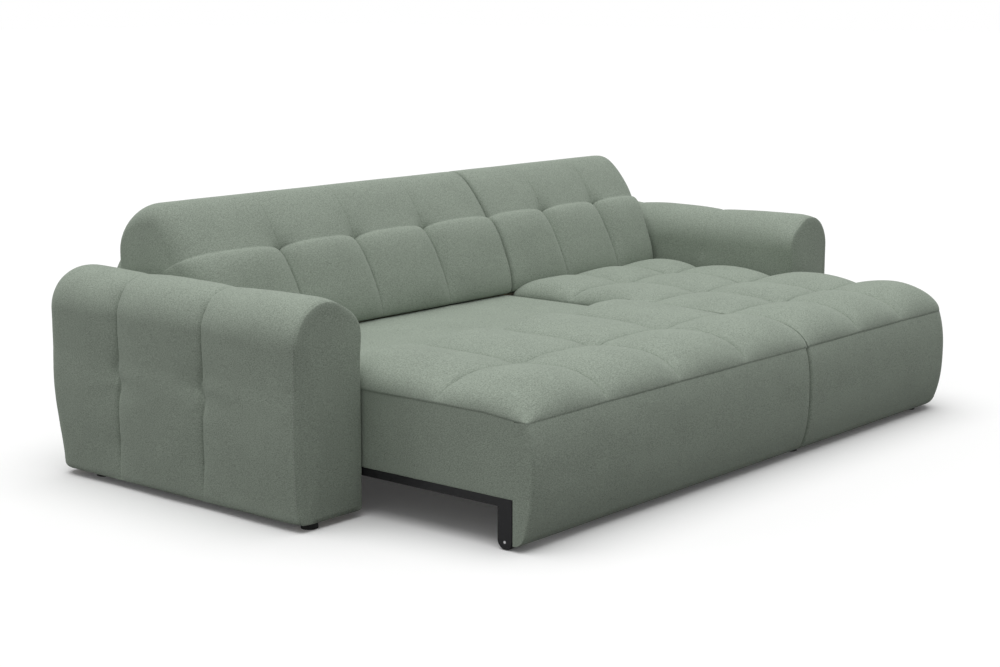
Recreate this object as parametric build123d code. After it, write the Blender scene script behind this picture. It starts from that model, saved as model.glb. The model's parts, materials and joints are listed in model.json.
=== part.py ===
from build123d import *
import math
import os

# Corner sofa with a pull-out sleeper seat, in millimetres, with the seat pulled out.
# X runs along the back, Y towards the rear and Z up. The origin is the middle of the footprint, on the floor.
# A depth is counted forwards from the rear foot line of the arms.

# Arms
ARM_SPACING = 2348          # between the inner faces of the two arms
ARM_LENGTH = 1115           # rear foot line to the front face
ARM_FOOT_WIDTH = 250        # at the foot
ARM_WIDTH = 256             # at the fullest height
ARM_FULLEST_HEIGHT = 400
ARM_HEIGHT = 655
ARM_REAR_BULGE = 30
ARM_SEAM_DEPTHS = (320, 700)
ARM_SEAM_SINK = 14
ARM_END_ROUND = 34
ARM_FRONT_PAD = 20
ARM_FRONT_EDGE = 8          # depth of the front pad's turned edge
ARM_INNER_LINING = 12
ARM_FOOT_PADDING = 30
ARM_TOP_PADDING = 95
ARM_REAR_PADDING = 40
ARM_FOOT_SIDE_INSET = 75    # outer edge of the arm's underside to the centre of a foot
ARM_FOOT_FRONT_INSET = 26   # front pad to the centre of the front foot
ARM_FOOT_REAR_INSET = 110   # rear padding to the centre of the rear foot

# Seat
SEAT_REACH = 1713           # rear foot line to the front seam
SEAM_HEIGHT = 364           # floor to the seam between panel and cushion
SEAT_HEIGHT = 466           # floor to the crown of a tufted cell
TUFT_HEIGHT = 428           # floor to a sewn channel between two cells
HEM = 5                     # cushion edge above the front and side seams
SPLIT_X = 275               # line between the pull-out seat and the chaise
SPLIT_GAP = 6
FRONT_PANEL = 50            # thickness of the front panels at their seams
FRONT_BULGE = 22
PANEL_LIFT = 30             # floor to the lower edge of the front panels

# Pull-out seat
PULL_COLUMNS = 4
PULL_SEAM_DEPTH = 1388
PULL_CUSHION_REAR = 975
REAR_PAD_REAR = 452
REAR_PAD_HEIGHT = 410
REAR_PAD_CROWN = 8
SIDE_GAP = 11               # between the pull-out frame and what stands beside it
SIDE_PANEL = 18
PULL_TRAVEL = 420

# Chaise
CHAISE_SEAM_X = (610, 905)
CHAISE_SEAM_DEPTHS = (735, 1070, 1400)
CHAISE_CORNER = 60          # outer radius of the front right corner
LEFT_LINING = 6

# Back
BACK_HEIGHT = 842
BACK_UNDERSIDE = 418
BACK_FRONT = 462            # depth of the lower front edge
BACK_PINCH_DEPTH = 337
BACK_PINCH_HEIGHT = 672
BACK_BROW_DEPTH = 268
BACK_BROW_HEIGHT = 798
BACK_CREST_DEPTH = 190
BACK_SHOULDER_HEIGHT = 716
BACK_CELL_BULGE = 36
BACK_SEAM_BULGE = 12
BACK_BROW_BULGE = 7
BACK_LEFT_SEAM_X = (-757, -410, -66)
BACK_RIGHT_SEAM_X = (605, 925)
BACK_END_ROUND = 45
BACK_SPLIT_ROUND = 12
BACK_END_GAP = 8
BACK_RAIL_DEPTH = 40
BACK_RAIL_HEIGHT = 60
BACK_RAIL_FRONT = 420

# Boards, foam and cloth
BOARD = 18
REAR_CLOTH = 3
REAR_INSET = 2              # rear cloth in front of the rear foot line
BASE_HEIGHT = 22            # floor to the underside of the frame
FOOT_DIAMETER = 50
FOOT_INSET = 35             # outer edge of the chaise's frame to the centre of a foot
FOAM_HEIGHT = 118
STRAP_WIDTH = 60
STRAP_THICKNESS = 2
PULL_STRAPS = 9
CHAISE_STRAPS = 9
DUST_CLOTH = 1.5

# Steel of the pull-out
RAIL_WIDTH = 25
RAIL_HEIGHT = 24
RAIL_LIFT = 121
TUBE_WALL = 2
CROSS_TUBE = 22
LEG_PLATE = 6
LEG_DEPTH = 50
LEG_SIDE_PLAY = 3
FLOOR_PLAY = 3              # floor to the lowest point of a leg plate
ROLLER_WIDTH = 22
FRONT_ROLLER_DIAMETER = 46
AXLE_DIAMETER = 8
AXLE_PLAY = 0.05
HANGER_PLATE = 6
HANGER_DEPTH = 50
HANGER_BELOW_AXLE = 15
REAR_AXLE_DEPTH = 560
CHANNEL_LIFT = 45
CHANNEL_HEIGHT = 50
CHANNEL_WIDTH = 34
CHANNEL_WALL = 3
CHANNEL_PLAY = 0.3
CHANNEL_RUN_ON = 75         # channel beyond the roller's two end positions
REAR_ROLLER_WIDTH = 20

# Shares of a cell's length at which its sections stand
CELL_SECTIONS = (0.0, 0.05, 0.2, 0.5, 0.8, 0.95, 1.0)
SWELL_POWER = 2.2           # a higher power keeps a cell full nearer to its ends
SOFT_CLEARANCE = 0.3
FLAT_RISE = 1.5             # least rise of a cell's crown above its sides

# Derived places
inner = ARM_SPACING / 2
overall_depth = ARM_REAR_BULGE + SEAT_REACH + FRONT_BULGE
panel_back = SEAT_REACH - FRONT_PANEL
pull_left = -inner + SIDE_GAP
pull_cushion_right = SPLIT_X - SPLIT_GAP / 2
chaise_left = SPLIT_X + SPLIT_GAP / 2
pull_right = chaise_left - SIDE_GAP
rail_top = RAIL_LIFT + RAIL_HEIGHT
foam_base = SEAM_HEIGHT - FOAM_HEIGHT
rear_board_front = REAR_INSET + REAR_CLOTH + BOARD
chaise_board = chaise_left + LEFT_LINING + BOARD
chaise_right = inner + FRONT_PANEL
band_turn = CHAISE_CORNER - FRONT_PANEL
front_axle_depth = panel_back - FLOOR_PLAY - LEG_DEPTH / 2
channel_axle_height = CHANNEL_LIFT + CHANNEL_HEIGHT / 2


def y_at(depth):
    """Y of a depth counted forwards from the rear foot line."""
    return overall_depth / 2 - ARM_REAR_BULGE - depth


def block(x_span, depth_span, z_span):
    """Box between two X values, two depths and two heights."""
    x0, x1 = x_span
    d0, d1 = depth_span
    z0, z1 = z_span
    middle = ((x0 + x1) / 2, y_at((d0 + d1) / 2), (z0 + z1) / 2)
    return Pos(*middle) * Box(x1 - x0, d1 - d0, z1 - z0)


def across(depth):
    """Places (x, z) points on the upright plane at a depth."""
    return lambda x, z: (x, y_at(depth), z)


def along(x):
    """Places (depth, z) points on the upright plane at an X value."""
    return lambda depth, z: (x, y_at(depth), z)


def level(z):
    """Places (x, depth) points on the plane at a height."""
    return lambda x, depth: (x, y_at(depth), z)


def closed(place, start, *steps):
    """Closed wire. A step is an end point, or a pair of a point on an arc and its end point."""
    edges = []
    here = place(*start)
    for step in steps + (start,):
        if isinstance(step[0], tuple):
            through, end = place(*step[0]), place(*step[1])
            edges.append(Edge.make_three_point_arc(here, through, end))
        else:
            end = place(*step)
            edges.append(Edge.make_line(here, end))
        here = end
    return Wire(edges)


def prism(wire, direction):
    """Solid from a flat wire pushed along a direction."""
    return Solid.extrude(Face(wire), Vector(*direction))


def square_arc(top, end):
    """Point half way along the arc that leaves its top point level and runs to its end point."""
    run, drop = end[0] - top[0], top[1] - end[1]
    radius = (run ** 2 + drop ** 2) / (2 * drop)
    half = math.atan2(abs(run), radius - drop) / 2
    return (top[0] + math.copysign(radius * math.sin(half), run), top[1] - radius * (1 - math.cos(half)))


def bowed(start, end, bulge):
    """Point half way along an arc that stands out to the right of its chord by a bulge."""
    run, rise = end[0] - start[0], end[1] - start[1]
    length = math.hypot(run, rise)
    return ((start[0] + end[0]) / 2 + bulge * rise / length, (start[1] + end[1]) / 2 - bulge * run / length)


def swell(share):
    """Fullness of a padded cell, from 0 at its two ends to 1 in its middle."""
    return math.sqrt(max(0.0, 1 - abs(2 * share - 1) ** SWELL_POWER))


def arm_section(depth, sink):
    """Arched outline of the left arm at a depth, drawn in by a sink all round its free sides."""
    radius = ARM_WIDTH / 2
    spring = ARM_HEIGHT - radius
    reach = radius - sink
    corner = reach * math.sqrt(0.5)
    middle = -inner - radius
    outside = middle - reach
    foot_edge = outside + ARM_WIDTH - ARM_FOOT_WIDTH
    side = square_arc((ARM_FULLEST_HEIGHT, -outside), (BASE_HEIGHT, -foot_edge))
    return closed(
        across(depth),
        (-inner, BASE_HEIGHT),
        (foot_edge, BASE_HEIGHT),
        ((-side[1], side[0]), (outside, ARM_FULLEST_HEIGHT)),
        (outside, spring),
        ((middle - corner, spring + corner), (middle, spring + reach)),
        ((middle + corner, spring + corner), (middle + reach, spring)),
        (-inner, TUFT_HEIGHT),
    )


def arm_cell(start, end, start_sink, end_sink):
    """Padded length of the left arm between two seams."""
    sections = []
    for share in CELL_SECTIONS:
        end_of_cell = start_sink if share < 0.5 else end_sink
        depth = start + share * (end - start)
        sections.append(arm_section(depth, end_of_cell * (1 - swell(share))))
    return Solid.make_loft(sections)


def arm_cavity():
    """Space inside the left arm's padding, open below and in front."""
    return block(
        (-inner - ARM_FOOT_WIDTH + ARM_FOOT_PADDING, -inner - ARM_INNER_LINING),
        (ARM_REAR_PADDING, ARM_LENGTH - ARM_FRONT_PAD),
        (BASE_HEIGHT, ARM_HEIGHT - ARM_TOP_PADDING),
    )


def left_arm_pieces():
    """Padding, front pad, boards and feet of the left arm."""
    front = ARM_LENGTH - ARM_FRONT_PAD
    stops = (-ARM_END_ROUND,) + ARM_SEAM_DEPTHS + (front,)
    sinks = (ARM_END_ROUND, ARM_SEAM_SINK, ARM_SEAM_SINK, ARM_SEAM_SINK / 2)
    cells = [arm_cell(*pair) for pair in zip(stops, stops[1:], sinks, sinks[1:])]
    padding = cells[0].fuse(*cells[1:])
    outer = -inner - ARM_WIDTH
    rear_outline = closed(
        along(outer),
        (0, BASE_HEIGHT),
        (front, BASE_HEIGHT),
        (front, ARM_HEIGHT),
        (0, ARM_HEIGHT),
    )
    bulge = closed(
        along(outer),
        (0, BASE_HEIGHT),
        (bowed((0, BASE_HEIGHT), (0, ARM_HEIGHT), -ARM_REAR_BULGE), (0, ARM_HEIGHT)),
    )
    envelope = prism(rear_outline, (ARM_WIDTH, 0, 0)).fuse(prism(bulge, (ARM_WIDTH, 0, 0)))
    padding = (padding & envelope) - arm_cavity()
    pad_sink = ARM_SEAM_SINK / 2
    pad_sections = [
        arm_section(front, pad_sink),
        arm_section(ARM_LENGTH - ARM_FRONT_EDGE, pad_sink),
        arm_section(ARM_LENGTH, pad_sink + ARM_FRONT_EDGE),
    ]
    front_pad = Solid.make_loft(pad_sections, ruled=True)

    cavity = arm_cavity().bounding_box()
    x0, x1 = cavity.min.X, cavity.max.X
    d0, d1 = ARM_REAR_PADDING, front
    z0, z1 = cavity.min.Z, cavity.max.Z
    between = (x0 + BOARD, x1 - BOARD)
    ribs = [
        block(between, (d0, d0 + BOARD), (z0, z1)),
        block(between, (d1 - BOARD, d1), (z0, z1)),
        block(between, (d0 + BOARD, d1 - BOARD), (z1 - BOARD, z1)),
        block(between, (d0 + BOARD, d1 - BOARD), (z0, z0 + BOARD)),
    ]
    foot_x = -inner - ARM_FOOT_WIDTH + ARM_FOOT_SIDE_INSET
    foot_depths = (ARM_REAR_PADDING + ARM_FOOT_REAR_INSET, front - ARM_FOOT_FRONT_INSET)
    return {
        "padding": padding,
        "front_pad": front_pad,
        "outer_board": block((x0, x0 + BOARD), (d0, d1), (z0, z1)),
        "inner_board": block((x1 - BOARD, x1), (d0, d1), (z0, z1)),
        "ribs": Compound(ribs),
        "feet": Compound([foot(foot_x, depth) for depth in foot_depths]),
    }


def foot(x, depth):
    """Round foot between the floor and the frame."""
    return Pos(x, y_at(depth), BASE_HEIGHT / 2) * Cylinder(FOOT_DIAMETER / 2, BASE_HEIGHT)


def tufted_row(seams, edges, depths, ends):
    """Row of tufted cells between two depths.

    seams are the X values of the row's edges and channels, edges the heights of its left and right edge,
    and ends the heights of its rear and front end.
    """
    sections = []
    for share in CELL_SECTIONS:
        end = ends[0] if share < 0.5 else ends[1]
        crown = end + (SEAT_HEIGHT - end) * swell(share)
        heights = [edges[0]] + [TUFT_HEIGHT] * (len(seams) - 2) + [edges[1]]
        heights = [min(height, crown - FLAT_RISE) for height in heights]
        steps = [(seams[-1], SEAM_HEIGHT), (seams[-1], heights[-1])]
        for i in range(len(seams) - 1, 0, -1):
            middle = ((seams[i] + seams[i - 1]) / 2, crown)
            steps.append((middle, (seams[i - 1], heights[i - 1])))
        depth = depths[0] + share * (depths[1] - depths[0])
        sections.append(closed(across(depth), (seams[0], SEAM_HEIGHT), *steps))
    return Solid.make_loft(sections)


def pull_cushion():
    """Tufted cushion of the pull-out seat."""
    width = pull_cushion_right - pull_left
    seams = [pull_left + width * i / PULL_COLUMNS for i in range(PULL_COLUMNS + 1)]
    edges = (SEAM_HEIGHT + HEM, TUFT_HEIGHT - 2 * HEM)
    rear = tufted_row(seams, edges, (PULL_CUSHION_REAR, PULL_SEAM_DEPTH), (REAR_PAD_HEIGHT, TUFT_HEIGHT))
    front = tufted_row(seams, edges, (PULL_SEAM_DEPTH, SEAT_REACH), (TUFT_HEIGHT, SEAM_HEIGHT + 2 * HEM))
    return rear.fuse(front)


def chaise_cushion():
    """Tufted cushion of the chaise, notched round the right arm."""
    seams = (chaise_left,) + CHAISE_SEAM_X + (chaise_right,)
    stops = (BACK_FRONT + 2 * HEM,) + CHAISE_SEAM_DEPTHS + (SEAT_REACH,)
    ends = [TUFT_HEIGHT - 2 * HEM] + [TUFT_HEIGHT] * len(CHAISE_SEAM_DEPTHS) + [SEAM_HEIGHT + 2 * HEM]
    edges = (TUFT_HEIGHT - 2 * HEM, SEAM_HEIGHT + HEM)
    rows = []
    for pair in zip(stops, stops[1:], ends, ends[1:]):
        rows.append(tufted_row(seams, edges, pair[:2], pair[2:]))
    cushion = rows[0].fuse(*rows[1:])
    beside_arm = block(
        (inner - SOFT_CLEARANCE, chaise_right + HEM),
        (0, ARM_LENGTH + SOFT_CLEARANCE),
        (0, SEAT_HEIGHT + HEM),
    )
    corner_x, corner_depth = chaise_right - CHAISE_CORNER, SEAT_REACH - CHAISE_CORNER
    past_corner = block(
        (corner_x, chaise_right + HEM),
        (corner_depth, SEAT_REACH + HEM),
        (SEAM_HEIGHT - HEM, SEAT_HEIGHT + HEM),
    )
    turn = Pos(corner_x, y_at(corner_depth), SEAM_HEIGHT) * Cylinder(CHAISE_CORNER, SEAT_HEIGHT)
    return cushion - beside_arm - (past_corner - turn)


def panel_outline(x):
    """Section of a front panel, full in the middle and drawn in at its seams, at an X value."""
    foot_corner, seam_corner = (SEAT_REACH, PANEL_LIFT), (SEAT_REACH, SEAM_HEIGHT)
    return closed(
        along(x),
        (panel_back, PANEL_LIFT),
        foot_corner,
        (bowed(foot_corner, seam_corner, FRONT_BULGE), seam_corner),
        (panel_back, SEAM_HEIGHT),
    )


def chaise_band():
    """Upholstered band round the front and the right side of the chaise."""
    corner = band_turn * (1 - math.sqrt(0.5))
    place = level(PANEL_LIFT)
    corner_start, corner_end = place(inner - band_turn, panel_back), place(inner, panel_back - band_turn)
    path = Wire([
        Edge.make_line(place(chaise_left, panel_back), corner_start),
        Edge.make_three_point_arc(corner_start, place(inner - corner, panel_back - corner), corner_end),
        Edge.make_line(corner_end, place(inner, ARM_LENGTH + SOFT_CLEARANCE)),
    ])
    return Solid.sweep(Face(panel_outline(chaise_left)), path)


def back_section(x, bulge, sink):
    """Section of a back cushion at an X value, drawn in by a sink at its free sides."""
    toe = (BACK_FRONT - sink, BACK_UNDERSIDE)
    pinch = (BACK_PINCH_DEPTH - sink, BACK_PINCH_HEIGHT)
    brow = (BACK_BROW_DEPTH - sink / 2, BACK_BROW_HEIGHT - sink)
    crest = (BACK_CREST_DEPTH, BACK_HEIGHT - sink)
    shoulder = (rear_board_front, BACK_SHOULDER_HEIGHT - sink / 2)
    return closed(
        along(x),
        (rear_board_front, BACK_UNDERSIDE),
        toe,
        (bowed(toe, pinch, bulge), pinch),
        (bowed(pinch, brow, BACK_BROW_BULGE), brow),
        (square_arc(crest, brow), crest),
        (square_arc(crest, shoulder), shoulder),
    )


def back_cushion(seams, left_round, right_round):
    """Back cushion with sewn columns below its pinched seam and a plain upper part."""
    columns = []
    for x0, x1 in zip(seams, seams[1:]):
        left_sink = left_round if x0 == seams[0] else 0
        right_sink = right_round if x1 == seams[-1] else 0
        sections = []
        for share in CELL_SECTIONS:
            fullness = swell(share)
            sink = (left_sink if share < 0.5 else right_sink) * (1 - fullness)
            bulge = BACK_SEAM_BULGE + (BACK_CELL_BULGE - BACK_SEAM_BULGE) * fullness
            sections.append(back_section(x0 + share * (x1 - x0), bulge, sink))
        columns.append(Solid.make_loft(sections))
    return columns[0].fuse(*columns[1:])


def back_pieces():
    """Both back cushions, their front rails, the centre support, the rear panel and its cloth."""
    left_end, right_end = -inner + BACK_END_GAP, inner - BACK_END_GAP
    support_x = (chaise_left + LEFT_LINING, chaise_board)
    rail_depths = (BACK_RAIL_FRONT - BACK_RAIL_DEPTH, BACK_RAIL_FRONT)
    rail_heights = (BACK_UNDERSIDE, BACK_UNDERSIDE + BACK_RAIL_HEIGHT)
    left_rail = block((-inner, support_x[0]), rail_depths, rail_heights)
    right_rail = block((support_x[1], inner), rail_depths, rail_heights)
    support_top = BACK_UNDERSIDE + BACK_RAIL_HEIGHT
    support = block(support_x, (rear_board_front, BACK_RAIL_FRONT), (SEAM_HEIGHT, support_top))
    left = back_cushion((left_end,) + BACK_LEFT_SEAM_X + (pull_cushion_right,), BACK_END_ROUND, BACK_SPLIT_ROUND)
    right = back_cushion((chaise_left,) + BACK_RIGHT_SEAM_X + (right_end,), BACK_SPLIT_ROUND, BACK_END_ROUND)
    behind = (REAR_INSET + REAR_CLOTH, rear_board_front)
    heights = (BASE_HEIGHT, BACK_SHOULDER_HEIGHT)
    return {
        "back_left_cushion": left - left_rail,
        "back_right_cushion": right - left_rail - right_rail - support,
        "back_left_rail": left_rail,
        "back_right_rail": right_rail,
        "back_centre_support": support,
        "rear_panel": block((-inner, inner), behind, heights),
        "rear_cloth": block((-inner, inner), (REAR_INSET, REAR_INSET + REAR_CLOTH), heights),
    }


def straps(x_span, depth_span, count):
    """Row of flat straps that run from front to rear under a foam block."""
    x0, x1 = x_span
    pitch = (x1 - x0) / count
    pieces = []
    for i in range(count):
        middle = x0 + (i + 0.5) * pitch
        span = (middle - STRAP_WIDTH / 2, middle + STRAP_WIDTH / 2)
        pieces.append(block(span, depth_span, (foam_base - STRAP_THICKNESS, foam_base)))
    return Compound(pieces)


def chaise_pieces():
    """Cushion, band, boards, foam, webbing, cloth and feet of the chaise."""
    lining_x = (chaise_left, chaise_left + LEFT_LINING)
    left_x = (chaise_left + LEFT_LINING, chaise_board)
    right_x = (inner - BOARD, inner)
    between_x = (left_x[1], right_x[0])
    board_heights = (BASE_HEIGHT, SEAM_HEIGHT)
    front_depths = (panel_back - BOARD, panel_back)
    rear_depths = (rear_board_front, rear_board_front + BOARD)
    inside_depths = (rear_depths[1], front_depths[0])
    cushion_rear = BACK_FRONT + 2 * HEM
    foot_x = (left_x[0] + FOOT_INSET, right_x[1] - FOOT_INSET)
    foot_depths = (rear_depths[0] + FOOT_INSET, panel_back - FOOT_INSET)
    rear_pad_x = (chaise_board, inner)
    return {
        "chaise_cushion": chaise_cushion(),
        "chaise_band": chaise_band(),
        "chaise_left_panel": block(lining_x, (rear_board_front, panel_back), board_heights),
        "chaise_left_board": block(left_x, (rear_board_front, panel_back), board_heights),
        "chaise_right_board": block(right_x, (rear_board_front, panel_back - band_turn), board_heights),
        "chaise_front_board": block(between_x, front_depths, board_heights),
        "chaise_rear_board": block(between_x, rear_depths, board_heights),
        "chaise_foam": block(between_x, inside_depths, (foam_base, SEAM_HEIGHT)),
        "chaise_webbing": straps(between_x, inside_depths, CHAISE_STRAPS),
        "chaise_rear_pad": block(rear_pad_x, (rear_board_front, cushion_rear), (SEAM_HEIGHT, BACK_UNDERSIDE)),
        "chaise_dust_cloth": block(between_x, inside_depths, (BASE_HEIGHT, BASE_HEIGHT + DUST_CLOTH)),
        "chaise_feet": Compound([foot(x, depth) for x in foot_x for depth in foot_depths]),
    }


def from_side(side, near, far):
    """X span between two distances inwards from the left or right side of the pull-out frame."""
    if side == "left":
        return pull_left + near, pull_left + far
    return pull_right - far, pull_right - near


def cylinder_x(x_span, depth, height, radius):
    """Cylinder along X."""
    x0, x1 = x_span
    return Pos((x0 + x1) / 2, y_at(depth), height) * Rot(0, 90, 0) * Cylinder(radius, x1 - x0)


def hollow_bar(x_span, depth_span, z_span, axis):
    """Square tube, open at both ends of its axis, x or y."""
    def shrink(span, wall):
        return span[0] + wall, span[1] - wall
    bore_x = x_span if axis == "x" else shrink(x_span, TUBE_WALL)
    bore_depth = depth_span if axis == "y" else shrink(depth_span, TUBE_WALL)
    return block(x_span, depth_span, z_span) - block(bore_x, bore_depth, shrink(z_span, TUBE_WALL))


def leg_plate(x_span):
    """Upright plate of a leg with a round foot end."""
    half = LEG_DEPTH / 2
    low = FLOOR_PLAY + half
    corner = half * math.sqrt(0.5)
    wire = closed(
        along(x_span[0]),
        (front_axle_depth - half, RAIL_LIFT),
        (front_axle_depth - half, low),
        ((front_axle_depth - corner, low - corner), (front_axle_depth, FLOOR_PLAY)),
        ((front_axle_depth + corner, low - corner), (front_axle_depth + half, low)),
        (front_axle_depth + half, RAIL_LIFT),
    )
    return prism(wire, (x_span[1] - x_span[0], 0, 0))


def running_gear(side):
    """Rail, leg, hanger, axles and rollers at one side of the pull-out, and the guide channel beside it."""
    rail_x = from_side(side, 0, RAIL_WIDTH)
    rail = hollow_bar(rail_x, (REAR_PAD_REAR + BOARD, panel_back - FLOOR_PLAY), (RAIL_LIFT, rail_top), "y")

    fork_width = 2 * LEG_PLATE + 2 * LEG_SIDE_PLAY + ROLLER_WIDTH
    axle_hole = AXLE_DIAMETER / 2 + AXLE_PLAY
    axle_height = FRONT_ROLLER_DIAMETER / 2
    fork_x = from_side(side, 0, fork_width)
    roller_x = from_side(side, LEG_PLATE + LEG_SIDE_PLAY, fork_width - LEG_PLATE - LEG_SIDE_PLAY)
    outer_plate = leg_plate(from_side(side, 0, LEG_PLATE))
    inner_plate = leg_plate(from_side(side, fork_width - LEG_PLATE, fork_width))
    leg_depths = (front_axle_depth - LEG_DEPTH / 2, front_axle_depth + LEG_DEPTH / 2)
    bridge = block(fork_x, leg_depths, (RAIL_LIFT - LEG_PLATE, RAIL_LIFT))
    leg = outer_plate.fuse(inner_plate, bridge) - cylinder_x(fork_x, front_axle_depth, axle_height, axle_hole)
    front_axle = cylinder_x(fork_x, front_axle_depth, axle_height, AXLE_DIAMETER / 2)
    front_roller = roller(roller_x, front_axle_depth, axle_height, FRONT_ROLLER_DIAMETER / 2)

    channel_x = from_side(side, -SIDE_GAP, CHANNEL_WIDTH - SIDE_GAP)
    channel_depths = (
        REAR_AXLE_DEPTH - PULL_TRAVEL - CHANNEL_RUN_ON,
        REAR_AXLE_DEPTH + CHANNEL_RUN_ON,
    )
    channel = block(channel_x, channel_depths, (CHANNEL_LIFT, CHANNEL_LIFT + CHANNEL_HEIGHT))
    slot_x = from_side(side, CHANNEL_WALL - SIDE_GAP, CHANNEL_WIDTH - SIDE_GAP)
    slot_z = (CHANNEL_LIFT + CHANNEL_WALL, CHANNEL_LIFT + CHANNEL_HEIGHT - CHANNEL_WALL)
    channel = channel - block(slot_x, channel_depths, slot_z)

    rear_radius = (slot_z[1] - slot_z[0]) / 2 - CHANNEL_PLAY
    hanger_x = from_side(side, RAIL_WIDTH, RAIL_WIDTH + HANGER_PLATE)
    roller_end = RAIL_WIDTH - LEG_SIDE_PLAY
    rear_roller_x = from_side(side, roller_end - REAR_ROLLER_WIDTH, roller_end)
    axle_x = from_side(side, roller_end - REAR_ROLLER_WIDTH, RAIL_WIDTH + HANGER_PLATE)
    hanger_depths = (REAR_AXLE_DEPTH - HANGER_DEPTH / 2, REAR_AXLE_DEPTH + HANGER_DEPTH / 2)
    hanger = block(hanger_x, hanger_depths, (channel_axle_height - HANGER_BELOW_AXLE, rail_top))
    hanger = hanger - cylinder_x(hanger_x, REAR_AXLE_DEPTH, channel_axle_height, axle_hole)
    rear_axle = cylinder_x(axle_x, REAR_AXLE_DEPTH, channel_axle_height, AXLE_DIAMETER / 2)
    rear_roller = roller(rear_roller_x, REAR_AXLE_DEPTH, channel_axle_height, rear_radius)
    return {
        f"pull_out_rail_{side}": rail,
        f"pull_out_leg_{side}": leg,
        f"pull_out_hanger_{side}": hanger,
        "roller_axles": [front_axle, rear_axle],
        f"front_roller_{side}": front_roller,
        f"rear_roller_{side}": rear_roller,
        f"guide_channel_{side}": channel,
    }


def roller(x_span, depth, height, radius):
    """Roller with a running bore."""
    bore = cylinder_x(x_span, depth, height, AXLE_DIAMETER / 2 + AXLE_PLAY)
    return cylinder_x(x_span, depth, height, radius) - bore


def pull_out_pieces():
    """Cushion, pads, panels, boards, foam, webbing and cross tubes of the pull-out seat."""
    board_heights = (rail_top, SEAM_HEIGHT)
    front_depths = (panel_back - BOARD, panel_back)
    middle_depths = (PULL_CUSHION_REAR - BOARD, PULL_CUSHION_REAR)
    rear_depths = (REAR_PAD_REAR, REAR_PAD_REAR + BOARD)
    inside_x = (pull_left + SIDE_PANEL + BOARD, pull_right - SIDE_PANEL - BOARD)
    frame_x = (pull_left + SIDE_PANEL, pull_right - SIDE_PANEL)
    seat_depths = (middle_depths[1], front_depths[0])
    tube_x = (pull_left + RAIL_WIDTH, pull_right - RAIL_WIDTH)
    tube_z = (rail_top - CROSS_TUBE, rail_top)
    front_tube = seat_depths[1] - LEG_DEPTH
    rear_tube = rear_depths[1]
    deck_depths = (rear_depths[1], middle_depths[0])
    pad_sections = []
    for share in CELL_SECTIONS:
        depth = REAR_PAD_REAR + share * (PULL_CUSHION_REAR - REAR_PAD_REAR)
        side = REAR_PAD_HEIGHT - REAR_PAD_CROWN - HEM * (1 - swell(share))
        pad_sections.append(closed(
            across(depth),
            (pull_left, SEAM_HEIGHT),
            (pull_right, SEAM_HEIGHT),
            (pull_right, side),
            (((pull_left + pull_right) / 2, side + REAR_PAD_CROWN), (pull_left, side)),
        ))
    pieces = {
        "pull_out_cushion": pull_cushion(),
        "pull_out_rear_pad": Solid.make_loft(pad_sections),
        "pull_out_front_panel": prism(panel_outline(pull_left), (pull_cushion_right - pull_left, 0, 0)),
        "pull_out_front_board": block(frame_x, front_depths, board_heights),
        "pull_out_middle_board": block(inside_x, middle_depths, board_heights),
        "pull_out_rear_board": block(inside_x, rear_depths, board_heights),
        "pull_out_rear_deck": block(inside_x, deck_depths, (SEAM_HEIGHT - BOARD, SEAM_HEIGHT)),
        "pull_out_foam": block(inside_x, seat_depths, (foam_base, SEAM_HEIGHT)),
        "pull_out_webbing": straps(inside_x, seat_depths, PULL_STRAPS),
        "front_cross_tube": hollow_bar(tube_x, (front_tube - CROSS_TUBE, front_tube), tube_z, "x"),
        "rear_cross_tube": hollow_bar(tube_x, (rear_tube, rear_tube + CROSS_TUBE), tube_z, "x"),
    }
    axles = []
    for side in ("left", "right"):
        panel_depths = (PULL_CUSHION_REAR, panel_back)
        pieces[f"pull_out_side_panel_{side}"] = block(from_side(side, 0, SIDE_PANEL), panel_depths, board_heights)
        board_x = from_side(side, SIDE_PANEL, SIDE_PANEL + BOARD)
        board_depths = (REAR_PAD_REAR, front_depths[0])
        pieces[f"pull_out_side_board_{side}"] = block(board_x, board_depths, board_heights)
        gear = running_gear(side)
        axles += gear.pop("roller_axles")
        pieces.update(gear)
    pieces["roller_axles"] = Compound(axles)
    return pieces


def sofa_pieces():
    """Every piece of the sofa, by name."""
    pieces = {}
    for name, piece in left_arm_pieces().items():
        pieces[f"arm_left_{name}"] = piece
        pieces[f"arm_right_{name}"] = piece.mirror(Plane.YZ)
    pieces.update(back_pieces())
    pieces.update(chaise_pieces())
    pieces.update(pull_out_pieces())
    return pieces


os.makedirs("parts", exist_ok=True)
for piece_name, piece_shape in sofa_pieces().items():
    export_step(piece_shape, f"parts/{piece_name}.step")
    print(piece_name, len(piece_shape.solids()), round(piece_shape.volume / 1000), "cm3")
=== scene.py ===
"""Corner sofa with a pull-out seat: its sewn covers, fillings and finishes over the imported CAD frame."""
import json
import logging
import math
from dataclasses import dataclass
from enum import Enum
from typing import Callable, Sequence

import bmesh
import bpy
from mathutils import Euler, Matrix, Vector, noise


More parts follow.
